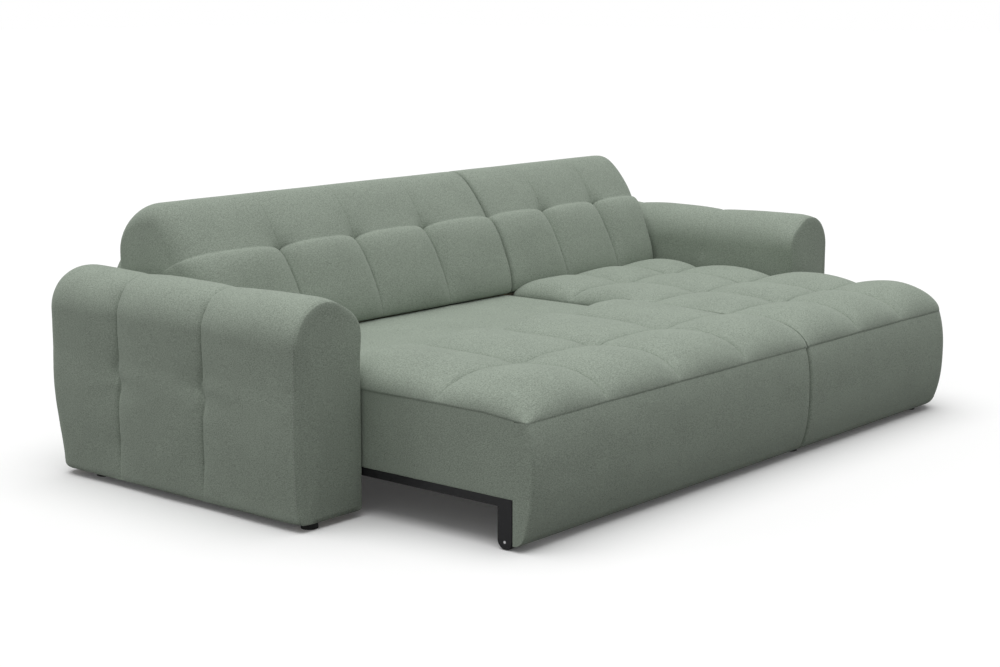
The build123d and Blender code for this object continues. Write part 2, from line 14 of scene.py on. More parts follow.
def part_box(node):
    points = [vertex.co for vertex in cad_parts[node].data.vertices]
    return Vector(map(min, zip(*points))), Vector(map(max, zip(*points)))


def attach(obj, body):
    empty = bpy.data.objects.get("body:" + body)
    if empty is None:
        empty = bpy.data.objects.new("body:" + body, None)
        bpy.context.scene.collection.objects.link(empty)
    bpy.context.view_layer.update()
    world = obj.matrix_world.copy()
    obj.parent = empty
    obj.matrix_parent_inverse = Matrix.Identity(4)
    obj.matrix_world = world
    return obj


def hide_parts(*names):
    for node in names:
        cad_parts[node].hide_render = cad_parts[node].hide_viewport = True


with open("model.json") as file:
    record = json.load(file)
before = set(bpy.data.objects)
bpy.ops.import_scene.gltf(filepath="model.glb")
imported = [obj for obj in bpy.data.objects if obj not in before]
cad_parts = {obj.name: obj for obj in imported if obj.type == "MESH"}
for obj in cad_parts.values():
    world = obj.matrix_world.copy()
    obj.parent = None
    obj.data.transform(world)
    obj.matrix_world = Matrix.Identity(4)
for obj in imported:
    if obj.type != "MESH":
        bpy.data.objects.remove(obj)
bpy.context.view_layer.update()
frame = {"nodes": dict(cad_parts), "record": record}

LOG = logging.getLogger("sofa")
Point = tuple[float, float]
Triple = tuple[float, float, float]
Colour = Triple
Row = list[Vector]


class Side(Enum):
    """Side of the sofa, as the sign of its X values."""

    LEFT = -1
    RIGHT = 1


class Carrier(Enum):
    """CAD body that a piece moves with."""

    BASE = "base"
    PULL_OUT = "pull_out"


@dataclass(frozen=True)
class Layout:
    """Main sizes of the sofa in metres. Depths run forwards from the rear foot line of the arms."""

    rear_line: float = 0.8525
    inner: float = 1.174
    arm_length: float = 1.115
    arm_height: float = 0.655
    arm_width: float = 0.256
    arm_foot_width: float = 0.250
    base: float = 0.022
    seam: float = 0.364
    seat: float = 0.466
    reach: float = 1.713
    panel_back: float = 1.663
    pull_left: float = -1.163
    pull_right: float = 0.272
    frame_right: float = 0.267
    chaise_left: float = 0.278
    chaise_right: float = 1.254
    pad_top: float = 0.410
    back_underside: float = 0.418
    peak: float = 0.002

    def at(self, x: float, depth: float, z: float) -> Vector:
        """Point at an X value, a depth and a height."""
        return Vector((x, self.rear_line - depth, z))


PLAN = Layout()
CELL_ROUND = 0.55


def puff(u: float, power: float = 2.2) -> float:
    """Fullness of a padded cell, from 0 at its seams (u of -1 and 1) to 1 in its middle."""
    return math.sqrt(max(0.0, 1.0 - min(1.0, abs(u)) ** power))


def fullness(u: float) -> float:
    """Height of a cell beside a sewn channel, from 0 at the channel to 1 in its middle."""
    return CELL_ROUND * puff(u, 2.0) + (1.0 - CELL_ROUND) * (1.0 - u * u)


def blend(low: float, high: float, value: float) -> float:
    """Smooth step from 0 at low to 1 at high."""
    share = min(1.0, max(0.0, (value - low) / (high - low)))
    return share * share * (3.0 - 2.0 * share)


def fade(away: float, reach: float) -> float:
    """Share of an effect that is left at a distance, steep at first."""
    return math.exp(-away / reach)


def bell(away: float, reach: float) -> float:
    """Share of an effect that is left at a distance, level at first."""
    return math.exp(-(away / reach) ** 2)


@dataclass(frozen=True)
class Ramp:
    """Smooth change from a first level to a last one between two places."""

    low: float
    high: float
    first: float = 0.0
    last: float = 1.0

    def at(self, value: float) -> float:
        """Level at a place."""
        return self.first + (self.last - self.first) * blend(self.low, self.high, value)


def eased(start: float, end: float, count: int) -> list[float]:
    """Values from start to end that lie closer together near both ends."""
    return [start + (end - start) * (1.0 - math.cos(math.pi * i / count)) / 2.0 for i in range(count + 1)]


def quarter(first: int, last: int, count: int) -> list[Point]:
    """Sines and cosines of the steps from first to last, of a right angle in count steps."""
    turns = [math.pi / 2.0 * i / count for i in range(first, last + 1)]
    return [(math.sin(turn), math.cos(turn)) for turn in turns]


def stations(stops: Sequence[float], counts: Sequence[int]) -> list[float]:
    """Eased values through each interval between neighbouring stops."""
    values = [stops[0]]
    for start, end, count in zip(stops, stops[1:], counts):
        values += eased(start, end, count)[1:]
    return values


def nearest_seam(stops: Sequence[float], value: float) -> tuple[int, float, bool]:
    """Finds the nearest seam of a row of padded cells.

    Args:
        stops: Seams between the cells, in order, with the two edges.
        value: Place across the seams.

    Returns:
        The seam's number, the place in its cell from -1 to 1, and whether the seam lies between two cells.
    """
    cells = list(zip(stops, stops[1:]))
    cell = next((i for i, (_, end) in enumerate(cells) if value <= end), len(cells) - 1)
    start, end = cells[cell]
    u = min(1.0, max(-1.0, (2.0 * value - start - end) / (end - start)))
    seam = cell if u < 0 else cell + 1
    return seam, u, 0 < seam < len(cells)


def peak_at(stops: Sequence[float], value: float) -> float:
    """Height by which an edge seam peaks beside the channels that run into it."""
    _, u, inner = nearest_seam(stops, value)
    return PLAN.peak * (1.0 - fullness(u)) if inner else 0.0


def corner_round(corner: Point, radius: float, count: int, sweep: float = 90.0) -> list[Point]:
    """Points from a level run round a lower outer corner towards the upright, without the start."""
    centre = (corner[0] - radius, corner[1] + radius)
    turns = [math.radians(sweep) * i / count for i in range(1, count + 1)]
    return [(centre[0] + radius * math.sin(t), centre[1] - radius * math.cos(t)) for t in turns]


def bezier(a: Point, b: Point, c: Point, d: Point, count: int) -> list[Point]:
    """Points along a cubic curve, without the start."""
    points = []
    for i in range(1, count + 1):
        t = i / count
        weights = ((1 - t) ** 3, 3 * t * (1 - t) ** 2, 3 * t * t * (1 - t), t ** 3)
        points.append((sum(w * p[0] for w, p in zip(weights, (a, b, c, d))),
                       sum(w * p[1] for w, p in zip(weights, (a, b, c, d)))))
    return points


def arc(start: Point, through: Point, end: Point, count: int) -> list[Point]:
    """Points along the circle through three points, without the start."""
    (ax, ay), (bx, by), (cx, cy) = start, through, end
    turn = 2.0 * (ax * (by - cy) + bx * (cy - ay) + cx * (ay - by))
    if abs(turn) < 1e-9:
        return line(start, end, count)
    a, b, c = ax * ax + ay * ay, bx * bx + by * by, cx * cx + cy * cy
    ux = (a * (by - cy) + b * (cy - ay) + c * (ay - by)) / turn
    uy = (a * (cx - bx) + b * (ax - cx) + c * (bx - ax)) / turn
    radius = math.hypot(ax - ux, ay - uy)
    first = math.atan2(ay - uy, ax - ux)
    middle = (math.atan2(by - uy, bx - ux) - first) % math.tau
    last = (math.atan2(cy - uy, cx - ux) - first) % math.tau
    sweep = last if middle < last else last - math.tau
    angles = [first + sweep * i / count for i in range(1, count + 1)]
    return [(ux + radius * math.cos(angle), uy + radius * math.sin(angle)) for angle in angles]


def line(start: Point, end: Point, count: int) -> list[Point]:
    """Points along a straight run, without the start."""
    shares = [i / count for i in range(1, count + 1)]
    return [(start[0] + (end[0] - start[0]) * s, start[1] + (end[1] - start[1]) * s) for s in shares]


def pillow(start: Point, end: Point, bulge: float, count: int, power: float) -> list[Point]:
    """Points along a run that swells to the right of its chord, without the start."""
    run, rise = end[0] - start[0], end[1] - start[1]
    length = math.hypot(run, rise)
    points = []
    for share in eased(0.0, 1.0, count)[1:]:
        out = bulge * puff(2.0 * share - 1.0, power) / length
        points.append((start[0] + run * share + out * rise, start[1] + rise * share - out * run))
    return points


def normals(ring: Sequence[Point]) -> list[Point]:
    """Outward normals of a closed outline that runs against the clock."""
    result = []
    for i in range(len(ring)):
        (ax, ay), (bx, by) = ring[i - 1], ring[(i + 1) % len(ring)]
        length = math.hypot(bx - ax, by - ay) or 1.0
        result.append(((by - ay) / length, (ax - bx) / length))
    return result


def ripple(point: Vector, size: float, seed: float) -> float:
    """Smooth unevenness from -1 to 1 at a point, for folds of about a given size."""
    return noise.noise(point / size + Vector((seed, 1.7 * seed, -seed)))


def domed(last: Row, swell: Vector, shares: Sequence[float], power: float) -> list[Row]:
    """Closes an end with a slightly domed face.

    Args:
        last: Closed row at the end.
        swell: How far, and which way, the face stands proud in its middle.
        shares: Sizes of the new rows beside the last one.
        power: How flat the face is round its middle.

    Returns:
        The rows, down to a single point.
    """
    middle = sum(last[:-1], Vector()) / (len(last) - 1)
    return [[middle + (p - middle) * share + swell * (1.0 - share ** power) for p in last]
            for share in shares]


def linked(name: str, data: bpy.types.ID) -> bpy.types.Object:
    """Makes an object of its data in the scene."""
    obj = bpy.data.objects.new(name, data)
    bpy.context.collection.objects.link(obj)
    return obj


@dataclass(frozen=True)
class Wave:
    """Unevenness of a face: waves that each have a height, a size and a seed."""

    parts: tuple[Triple, ...]

    def at(self, spot: Vector, seed: float = 0.0) -> float:
        """Height of all waves together at a place."""
        return sum(height * ripple(spot, size, seed + own) for height, size, own in self.parts)


class Cover:
    """Builds the mesh of one sewn piece and hangs it on the CAD frame."""

    def __init__(self, name: str) -> None:
        """Starts an empty piece with a name."""
        self.name = name
        self.bm = bmesh.new()

    def surface(self, rows: Sequence[Row]) -> "Cover":
        """Lays a grid over rows of points and merges the points that meet.

        Args:
            rows: Rows of points, each of the same length.

        Returns:
            The cover itself.
        """
        across, along = len(rows[0]) - 1, len(rows) - 1
        grid = bmesh.ops.create_grid(self.bm, x_segments=across, y_segments=along, size=1.0)["verts"]
        for vert in grid:
            i = round((vert.co.x + 1.0) / 2.0 * across)
            j = round((vert.co.y + 1.0) / 2.0 * along)
            vert.co = rows[j][i]
        bmesh.ops.remove_doubles(self.bm, verts=self.bm.verts[:], dist=2e-5)
        return self

    def underside(self) -> "Cover":
        """Closes the open rim of the surface with a flat, sharply edged face."""
        rim = [edge for edge in self.bm.edges if edge.is_boundary]
        for edge in rim:
            edge.smooth = False
        made = bmesh.ops.holes_fill(self.bm, edges=rim, sides=0)["faces"]
        bmesh.ops.triangulate(self.bm, faces=made)
        return self

    def soft_block(self, low: Vector, high: Vector, edge: float, crown: float) -> "Cover":
        """Makes a foam block with softened edges and faces that swell a little.

        Args:
            low: Lowest corner.
            high: Highest corner.
            edge: Distance by which the edges are drawn in.
            crown: How far the faces stand proud in their middle.

        Returns:
            The cover itself.
        """
        size, middle = high - low, (high + low) / 2.0
        bmesh.ops.create_cube(self.bm, size=1.0)
        bmesh.ops.scale(self.bm, vec=size, verts=self.bm.verts[:])
        bmesh.ops.subdivide_edges(self.bm, edges=self.bm.edges[:], cuts=11, use_grid_fill=True)
        for vert in self.bm.verts:
            share = [2.0 * vert.co[k] / size[k] for k in range(3)]
            for k in range(3):
                others = [abs(share[m]) for m in range(3) if m != k]
                inset = edge if max(others) > 0.999 else 0.0
                full = puff(others[0]) * puff(others[1])
                vert.co[k] = share[k] * (size[k] / 2.0 - inset - crown * (1.0 - full))
        bmesh.ops.translate(self.bm, vec=middle, verts=self.bm.verts[:])
        return self

    def finish(self, carrier: Carrier, finishes: "Finishes", slot: str, nodes: Sequence[str],
               fill: float | None = None, look: str | None = None) -> bpy.types.Object:
        """Makes the object, gives it its finish and lets it ride on a CAD body.

        Args:
            carrier: Body that the piece moves with.
            finishes: All finishes.
            slot: Material slot of the record.
            nodes: CAD nodes that it stands for.
            fill: How full a padded piece is, or None for a piece without padding. Not used.
            look: Name of its finish, if that isn't its slot.

        Returns:
            The finished object.
        """
        bmesh.ops.recalc_face_normals(self.bm, faces=self.bm.faces[:])
        for face in self.bm.faces:
            face.smooth = True
        mesh = bpy.data.meshes.new(self.name)
        self.bm.to_mesh(mesh)
        self.bm.free()
        obj = linked(self.name, mesh)
        mesh.materials.append(finishes.made[look or slot])
        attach(obj, carrier.value)
        if nodes:
            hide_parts(*nodes)
        LOG.info("%s: %d faces", self.name, len(mesh.polygons))
        return obj


def arithmetic(operation: str, reflected: bool = False) -> Callable[["Value", "Value | float"], "Value"]:
    """Makes the method of an arithmetic sign, with the plain number first in its reflected form."""

    def method(value: "Value", other: "Value | float") -> "Value":
        """Joins a value and another value or number."""
        return value.joined(operation, *((other, value) if reflected else (value, other)))

    return method


class Value:
    """A shader socket that takes part in Python arithmetic."""

    def __init__(self, shader: "Shader", socket: bpy.types.NodeSocket) -> None:
        """Wraps a socket of a shader."""
        self.shader = shader
        self.socket = socket

    def joined(self, operation: str, first: "Value | float", second: "Value | float") -> "Value":
        """Adds a Math node for two values."""
        made = self.shader.node("ShaderNodeMath", {"operation": operation}, {0: first, 1: second})
        return Value(self.shader, made.outputs[0])

    __add__ = arithmetic("ADD")
    __radd__ = arithmetic("ADD", True)
    __sub__ = arithmetic("SUBTRACT")
    __rsub__ = arithmetic("SUBTRACT", True)
    __mul__ = arithmetic("MULTIPLY")
    __rmul__ = arithmetic("MULTIPLY", True)

    def most(self, other: "Value | float") -> "Value":
        """Larger of two values."""
        return self.joined("MAXIMUM", self, other)


class Shader:
    """One procedural material around a Principled shader."""

    def __init__(self, name: str) -> None:
        """Starts a material with a Principled shader and its output."""
        self.material = bpy.data.materials.new(name)
        self.material.use_nodes = True
        self.tree = self.material.node_tree
        self.tree.nodes.clear()
        self.principled = self.node("ShaderNodeBsdfPrincipled")
        self.output = self.node("ShaderNodeOutputMaterial", None, {"Surface": self.principled.outputs[0]})
        self.place = self.node("ShaderNodeTexCoord").outputs["Object"]

    @classmethod
    def over(cls, tree: bpy.types.NodeTree) -> "Shader":
        """Wraps an existing node tree, emptied, that has no Principled shader."""
        made = cls.__new__(cls)
        made.tree = tree
        tree.nodes.clear()
        return made

    def feed(self, target: bpy.types.NodeSocket, value: object) -> None:
        """Links a socket to an input, or sets the input to a plain value."""
        source = value.socket if isinstance(value, Value) else value
        if isinstance(source, bpy.types.NodeSocket):
            self.tree.links.new(source, target)
        else:
            target.default_value = source

    def node(self, kind: str, settings: dict | None = None, inputs: dict | None = None) -> bpy.types.Node:
        """Adds a node.

        Args:
            kind: Type of the node.
            settings: Its properties. Stops holds the places and tones of a ramp.
            inputs: Values or links of its sockets, by name or number.

        Returns:
            The node.
        """
        made = self.tree.nodes.new(kind)
        for key, value in (settings or {}).items():
            if key == "stops":
                elements = made.color_ramp.elements
                for element, (position, tone) in zip(elements, value):
                    element.position = position
                    element.color = (tone, tone, tone, 1.0)
            else:
                setattr(made, key, value)
        for key, value in (inputs or {}).items():
            self.feed(made.inputs[key], value)
        return made

    def stretched(self, scale: Triple) -> bpy.types.NodeSocket:
        """Object coordinates with a scale for each axis."""
        mapping = self.node("ShaderNodeMapping", None, {"Vector": self.place, "Scale": scale})
        return mapping.outputs["Vector"]

    def noise(self, scale: float, detail: float, rough: float = 0.5,
              place: bpy.types.NodeSocket | None = None) -> Value:
        """Noise of a scale over the object, from 0 to 1."""
        inputs = {"Vector": place or self.place, "Scale": scale, "Detail": detail, "Roughness": rough}
        return Value(self, self.node("ShaderNodeTexNoise", None, inputs).outputs["Fac"])

    def cells(self, scale: float) -> Value:
        """Distance to the nearest of many scattered points."""
        inputs = {"Vector": self.place, "Scale": scale}
        return Value(self, self.node("ShaderNodeTexVoronoi", None, inputs).outputs["Distance"])

    def ramp(self, factor: Value, stops: Sequence[Point]) -> Value:
        """Value led through the two stops of a ramp."""
        made = self.node("ShaderNodeValToRGB", {"stops": stops}, {"Fac": factor})
        return Value(self, made.outputs["Color"])

    def mix(self, factor: Value, first: Colour, second: Colour) -> Value:
        """Mixture of two colours."""
        inputs = {0: factor, 6: (*first, 1.0), 7: (*second, 1.0)}
        return Value(self, self.node("ShaderNodeMix", {"data_type": "RGBA"}, inputs).outputs[2])

    def set(self, **inputs: object) -> None:
        """Sets or links inputs of the Principled shader, with underscores for spaces in their names."""
        for key, value in inputs.items():
            self.feed(self.principled.inputs[key.replace("_", " ")], value)

    def bump(self, height: Value, strength: float, distance: float) -> None:
        """Lets a height roughen the surface."""
        inputs = {"Height": height, "Strength": strength, "Distance": distance}
        self.set(Normal=self.node("ShaderNodeBump", None, inputs).outputs["Normal"])


@dataclass(frozen=True)
class Chenille:
    """Soft, mottled upholstery cloth with a short pile."""

    dark: Colour = (0.172, 0.199, 0.166)
    light: Colour = (0.426, 0.490, 0.411)
    pile: float = 520.0
    mottle: float = 210.0
    cloud: float = 7.0

    def make(self) -> bpy.types.Material:
        """Makes the cloth's material."""
        shader = Shader("sage_chenille")
        grain = shader.noise(self.pile, 2.0, 0.6)
        flecks = shader.noise(1.0, 3.0, 0.65, shader.stretched((self.mottle, self.mottle, 2.4 * self.mottle)))
        clouds = shader.noise(self.cloud, 2.0)
        loops = shader.cells(self.pile * 0.75)
        tone = shader.ramp(0.4 * grain + 0.6 * flecks, ((0.36, 0.0), (0.64, 1.0)))
        shade = 0.80 * tone + 0.20 * clouds
        shader.set(Base_Color=shader.mix(shade, self.dark, self.light), Roughness=0.86 + 0.1 * grain)
        shader.set(Sheen_Weight=0.14, Sheen_Roughness=0.45, Sheen_Tint=(0.80, 0.88, 0.80, 1.0))
        shader.set(Specular_IOR_Level=0.18)
        shader.bump(0.5 * grain + 0.3 * flecks + 0.2 * (1.0 - loops), 0.55, 0.0018)
        return shader.material


@dataclass(frozen=True)
class Thread:
    """Twisted sewing thread, a little paler than the cloth."""

    dark: Colour = (0.30, 0.33, 0.29)
    light: Colour = (0.46, 0.50, 0.45)

    def make(self) -> bpy.types.Material:
        """Makes the thread's material."""
        shader = Shader("sewing_thread")
        twist = shader.noise(1800.0, 2.0)
        shader.set(Base_Color=shader.mix(twist, self.dark, self.light), Roughness=0.6 + 0.2 * twist)
        shader.bump(twist, 0.3, 0.0003)
        return shader.material


@dataclass(frozen=True)
class Softwood:
    """Planed softwood or plywood with grain along one axis."""

    name: str
    pale: Colour
    dark: Colour
    along: Triple

    def make(self) -> bpy.types.Material:
        """Makes the timber's material."""
        shader = Shader(self.name)
        grain = shader.noise(1.0, 4.0, 0.6, shader.stretched(self.along))
        fibre = shader.noise(420.0, 2.0)
        tone = shader.ramp(0.75 * grain + 0.25 * fibre, ((0.3, 0.0), (0.7, 1.0)))
        shader.set(Base_Color=shader.mix(tone, self.dark, self.pale), Roughness=0.62 + 0.2 * fibre)
        shader.bump(grain, 0.25, 0.0008)
        return shader.material


@dataclass(frozen=True)
class Coating:
    """Dark paint or moulded plastic with a fine texture and rubbed patches."""

    name: str
    tone: Colour
    worn: Colour
    rough: float
    texture: float
    metallic: float = 0.0
    gloss: float = 0.2

    def make(self) -> bpy.types.Material:
        """Makes the coating's material."""
        shader = Shader(self.name)
        fine = shader.noise(self.texture, 2.0)
        patches = shader.ramp(shader.noise(22.0, 4.0, 0.65), ((0.45, 0.0), (0.75, 1.0)))
        shader.set(Base_Color=shader.mix(patches, self.tone, self.worn), Metallic=self.metallic)
        shader.set(Roughness=self.rough + 0.12 * fine + 0.08 * patches, Specular_IOR_Level=self.gloss)
        shader.bump(fine, 0.2, 0.0005)
        return shader.material


@dataclass(frozen=True)
class Filling:
    """Foam or plain cloth with pores or threads of a given size."""

    name: str
    tone: Colour
    shade: Colour
    pores: float
    depth: float

    def make(self) -> bpy.types.Material:
        """Makes the filling's material."""
        shader = Shader(self.name)
        pores = shader.cells(self.pores)
        clouds = shader.noise(9.0, 3.0)
        tone = shader.ramp(0.6 * pores + 0.4 * clouds, ((0.2, 0.0), (0.6, 1.0)))
        shader.set(Base_Color=shader.mix(tone, self.shade, self.tone), Roughness=0.85 + 0.1 * clouds)
        shader.bump(pores, 0.35, self.depth)
        return shader.material


@dataclass(frozen=True)
class Webbing:
    """Woven elastic strap with ribs across it."""

    tone: Colour = (0.035, 0.035, 0.038)
    thread: Colour = (0.16, 0.15, 0.14)

    def make(self) -> bpy.types.Material:
        """Makes the strap's material."""
        shader = Shader("woven_strap")
        settings = {"wave_type": "BANDS", "bands_direction": "Y"}
        inputs = {"Vector": shader.place, "Scale": 90.0, "Distortion": 1.5, "Detail": 2.0}
        ribs = Value(shader, shader.node("ShaderNodeTexWave", settings, inputs).outputs["Fac"])
        threads = shader.noise(600.0, 2.0)
        shader.set(Base_Color=shader.mix(0.6 * ribs + 0.4 * threads, self.tone, self.thread))
        shader.set(Roughness=0.7 + 0.2 * threads)
        shader.bump(ribs, 0.4, 0.001)
        return shader.material


class Finishes:
    """Every finish of the sofa, made once. All but the thread go by their slot in the record."""

    def __init__(self) -> None:
        """Makes the materials."""
        looks = {
            "upholstery": Chenille(),
            "thread": Thread(),
            "timber": Softwood("planed_softwood", (0.66, 0.49, 0.30), (0.44, 0.29, 0.15), (8.0, 8.0, 190.0)),
            "plywood": Softwood("raw_plywood", (0.70, 0.56, 0.38), (0.52, 0.39, 0.24), (5.0, 5.0, 60.0)),
            "black_steel": Coating("black_powder_coat", (0.01, 0.01, 0.011), (0.02, 0.02, 0.021), 0.42,
                                   900.0),
            "foot_plastic": Coating("moulded_foot", (0.012, 0.012, 0.012), (0.028, 0.028, 0.027), 0.5, 500.0),
            "roller_nylon": Coating("moulded_roller", (0.03, 0.03, 0.031), (0.06, 0.06, 0.06), 0.45, 400.0),
            "axle_steel": Coating("bright_axle", (0.52, 0.52, 0.53), (0.38, 0.38, 0.38), 0.28, 700.0, 1.0),
            "foam": Filling("seat_foam", (0.82, 0.78, 0.62), (0.62, 0.56, 0.40), 320.0, 0.002),
            "lining": Filling("spun_lining", (0.040, 0.040, 0.042), (0.015, 0.015, 0.016), 700.0, 0.0006),
            "webbing": Webbing(),
        }
        self.made = {slot: look.make() for slot, look in looks.items()}

    def dress_frame(self) -> None:
        """Gives every CAD node that stays in view its finish by its slot in the record."""
        for subpart in frame["record"]["subparts"]:
            mesh = frame["nodes"][subpart["node"]].data
            mesh.materials.clear()
            mesh.materials.append(self.made[subpart["material_slot"]])


def sewn_piece(name: str, rows: Sequence[Row], carrier: Carrier, node: str, fill: float,
               finishes: Finishes) -> None:
    """Builds a padded piece of cloth.

    Args:
        name: Name of the piece.
        rows: Rows of points over it. A rim that they leave open is closed.
        carrier: Body that it moves with.
        node: CAD node that it stands for.
        fill: How full it is.
        finishes: All finishes.
    """
    cover = Cover(name).surface(rows)
    cover.underside()
    cover.finish(carrier, finishes, "upholstery", [node], fill)


@dataclass
class Arm:
    """One padded arm with two sewn channels and a front pad inside an arch seam."""

    side: Side
    seams: Point = (0.312, 0.695)
    ends: Point = (-0.16, 1.2205)
    rear: float = -0.030
    rear_round: float = 0.078
    rear_inset: float = 0.040
    rear_dome: float = 0.014
    arch_seam: float = 1.1005
    front_inset: float = 0.026
    shoulder: float = 0.0085
    shoulder_run: float = 0.07
    seam_tuck: float = 0.0036
    seam_run: float = 0.010
    front_dome: float = 0.0085
    front_gap: float = 0.0008
    front_start: float = -0.0034
    front_turn: float = 0.004
    toe: float = 0.030
    heel: float = 0.022
    swell: Point = (0.0095, 0.21)
    upright: float = 0.40
    valley: float = 0.0160
    crease: float = 0.0075
    crease_width: float = 0.007
    tuft: float = 0.0095
    tuft_height: float = 0.345
    tuft_reach: Point = (0.040, 0.07)
    jog: float = 0.5
    jog_reach: float = 0.035
    pucker: float = 0.0016
    pucker_reach: float = 0.05
    pucker_folds: float = 7.0
    pucker_squash: float = 0.8
    seam_phase: float = 9.0
    gather: float = 0.0013
    gather_reach: float = 0.018
    gather_size: float = 0.020
    stitch_share: float = 0.5
    stitch_behind: float = 0.009
    stitch_pitch: float = 0.0095
    spine: Triple = (0.125, 0.10, 0.527)
    outer: Ramp = Ramp(0.05, 0.20)
    crest: Ramp = Ramp(0.58, 0.650, 1.0, 0.55)
    low: Ramp = Ramp(0.03, 0.15, 0.35, 1.0)
    lining: Ramp = Ramp(0.575, 0.635, 0.25, 0.65)
    held: Ramp = Ramp(0.0, 0.06, 0.4, 1.0)
    plain_inside: Ramp = Ramp(0.0, 0.03)
    tucked: Ramp = Ramp(0.0, 0.08, 0.3, 1.0)
    drawn_forwards: Ramp = Ramp(0.02, 0.34, 0.034, 0.0)
    drawn_until: float = 0.20
    lifted: Ramp = Ramp(PLAN.base - 0.004, PLAN.base + 0.05)
    bulge: Ramp = Ramp(PLAN.seat, PLAN.seat + 0.10, 0.008, 0.014)
    bulge_from: Ramp = Ramp(0.93, 1.09)
    bulge_across: Ramp = Ramp(0.0, 0.06, 1.0, 0.0)
    wave: Wave = Wave(((0.0016, 0.17, 2.0), (0.0006, 0.045, 5.0)))

    def outline(self) -> list[Point]:
        """Section of the arm without its channels, as distances outwards from its inner face and heights."""
        radius = PLAN.arm_width / 2.0
        spring = PLAN.arm_height - radius
        corner = radius * math.sqrt(0.5)
        foot, wide, base, heel = PLAN.arm_foot_width, PLAN.arm_width, PLAN.base, self.heel
        ring = [(heel, base)] + line((heel, base), (foot - self.toe, base), 9)
        ring += corner_round((foot, base), self.toe, 7)
        ring += arc(ring[-1], (foot + self.swell[0], self.swell[1]), (wide, self.upright), 32)
        ring += line((wide, self.upright), (wide, spring), 12)
        ring += arc((wide, spring), (radius + corner, spring + corner), (radius, PLAN.arm_height), 18)
        ring += arc((radius, PLAN.arm_height), (radius - corner, spring + corner), (0.0, spring), 16)
        ring += line((0.0, spring), (0.0, base + heel), 22)
        ring += [(heel - w, z) for w, z in corner_round((heel, base), heel, 5)[::-1]]
        return ring

    def drawn_in(self, w: float, z: float, inset: float) -> Point:
        """Place on the section moved towards the arm's middle by a distance."""
        middle, low, high = self.spine
        dw, dz = middle - w, min(high, max(low, z)) - z
        length = math.hypot(dw, dz) or 1.0
        share = min(inset, 0.9 * length) / length
        return w + dw * share, z + dz * share

    def sink(self, depth: float, w: float, z: float) -> float:
        """How deep the channels draw the cover in.

        Args:
            depth: Depth of the place.
            w: Distance outwards from the inner face.
            z: Height.

        Returns:
            The distance by which the cover lies below the plain section.
        """
        stops = self.ends[:1] + self.seams + self.ends[1:]
        above, outer = z - self.tuft_height, self.outer.at(w)
        jog = self.jog * above * bell(above, self.jog_reach) * outer
        number, u, inner = nearest_seam(stops, depth + jog)
        if not inner:
            return 0.0
        seam = stops[number]
        away = abs(depth + jog - seam)
        low, lining = self.low.at(z), self.lining.at(z)
        share = (lining + (1.0 - lining) * outer) * self.crest.at(z) * low
        stitch = max(share, self.stitch_share * low)
        drawn = share * self.valley * abs(u) ** 2.5
        drawn += stitch * self.crease * fade(away, self.crease_width)
        near = bell(above, self.tuft_reach[1]) * outer
        drawn += self.tuft * near * fade(away, self.tuft_reach[0])
        phase = self.seam_phase * seam
        folds = math.cos(self.pucker_folds * math.atan2(above, depth - seam) + phase)
        spread = math.hypot(away, self.pucker_squash * above)
        drawn += self.pucker * fade(spread, self.pucker_reach) * folds * outer
        gather = ripple(Vector((phase, z, w)), self.gather_size, 4.0)
        return drawn + self.gather * gather * fade(away, self.gather_reach) * outer

    def ring_at(self, stand: float, inset: float) -> Row:
        """Section of the arm.

        Args:
            stand: Depth at which it stands.
            inset: Distance by which the whole section is drawn in.

        Returns:
            The section's points, closed.
        """
        ring = self.outline()
        points = []
        for (w, z), (nw, nz) in zip(ring, normals(ring)):
            drawn = self.sink(stand, w, z) - self.wave.at(Vector((stand, w, z)))
            drawn *= (self.plain_inside.at(w) if z < PLAN.seat else 1.0) * (0.0 if nz < -0.5 else 1.0)
            out = self.drawn_in(w - nw * drawn, z - nz * drawn, inset * self.held.at(w))
            heel = self.drawn_forwards.at(z) * (1.0 - blend(self.rear, self.rear + self.drawn_until, stand))
            heel *= self.tucked.at(w)
            bulge = self.bulge.at(z) * self.bulge_from.at(stand) * self.bulge_across.at(w)
            x = self.side.value * (PLAN.inner + max(0.0, out[0]) - bulge)
            lifted = (out[1] - PLAN.base) * self.lifted.at(z)
            points.append(PLAN.at(x, stand + heel, PLAN.base + max(0.0, lifted)))
        return points + points[:1]

    def rounded(self, depth: float) -> float:
        """Distance by which the cover is drawn in towards the arch seam."""
        share = max(0.0, 1.0 - (self.arch_seam - depth) / self.shoulder_run)
        tuck = self.seam_tuck * blend(self.arch_seam - self.seam_run, self.arch_seam, depth)
        return self.shoulder * share * share + tuck

    @staticmethod
    def capped(last: Row, swell: float) -> list[Row]:
        """Rows that close an end of the arm with a face that swells along Y."""
        return domed(last, Vector((0.0, swell, 0.0)), (0.95, 0.86, 0.72, 0.55, 0.36, 0.18, 0.0), 2.4)

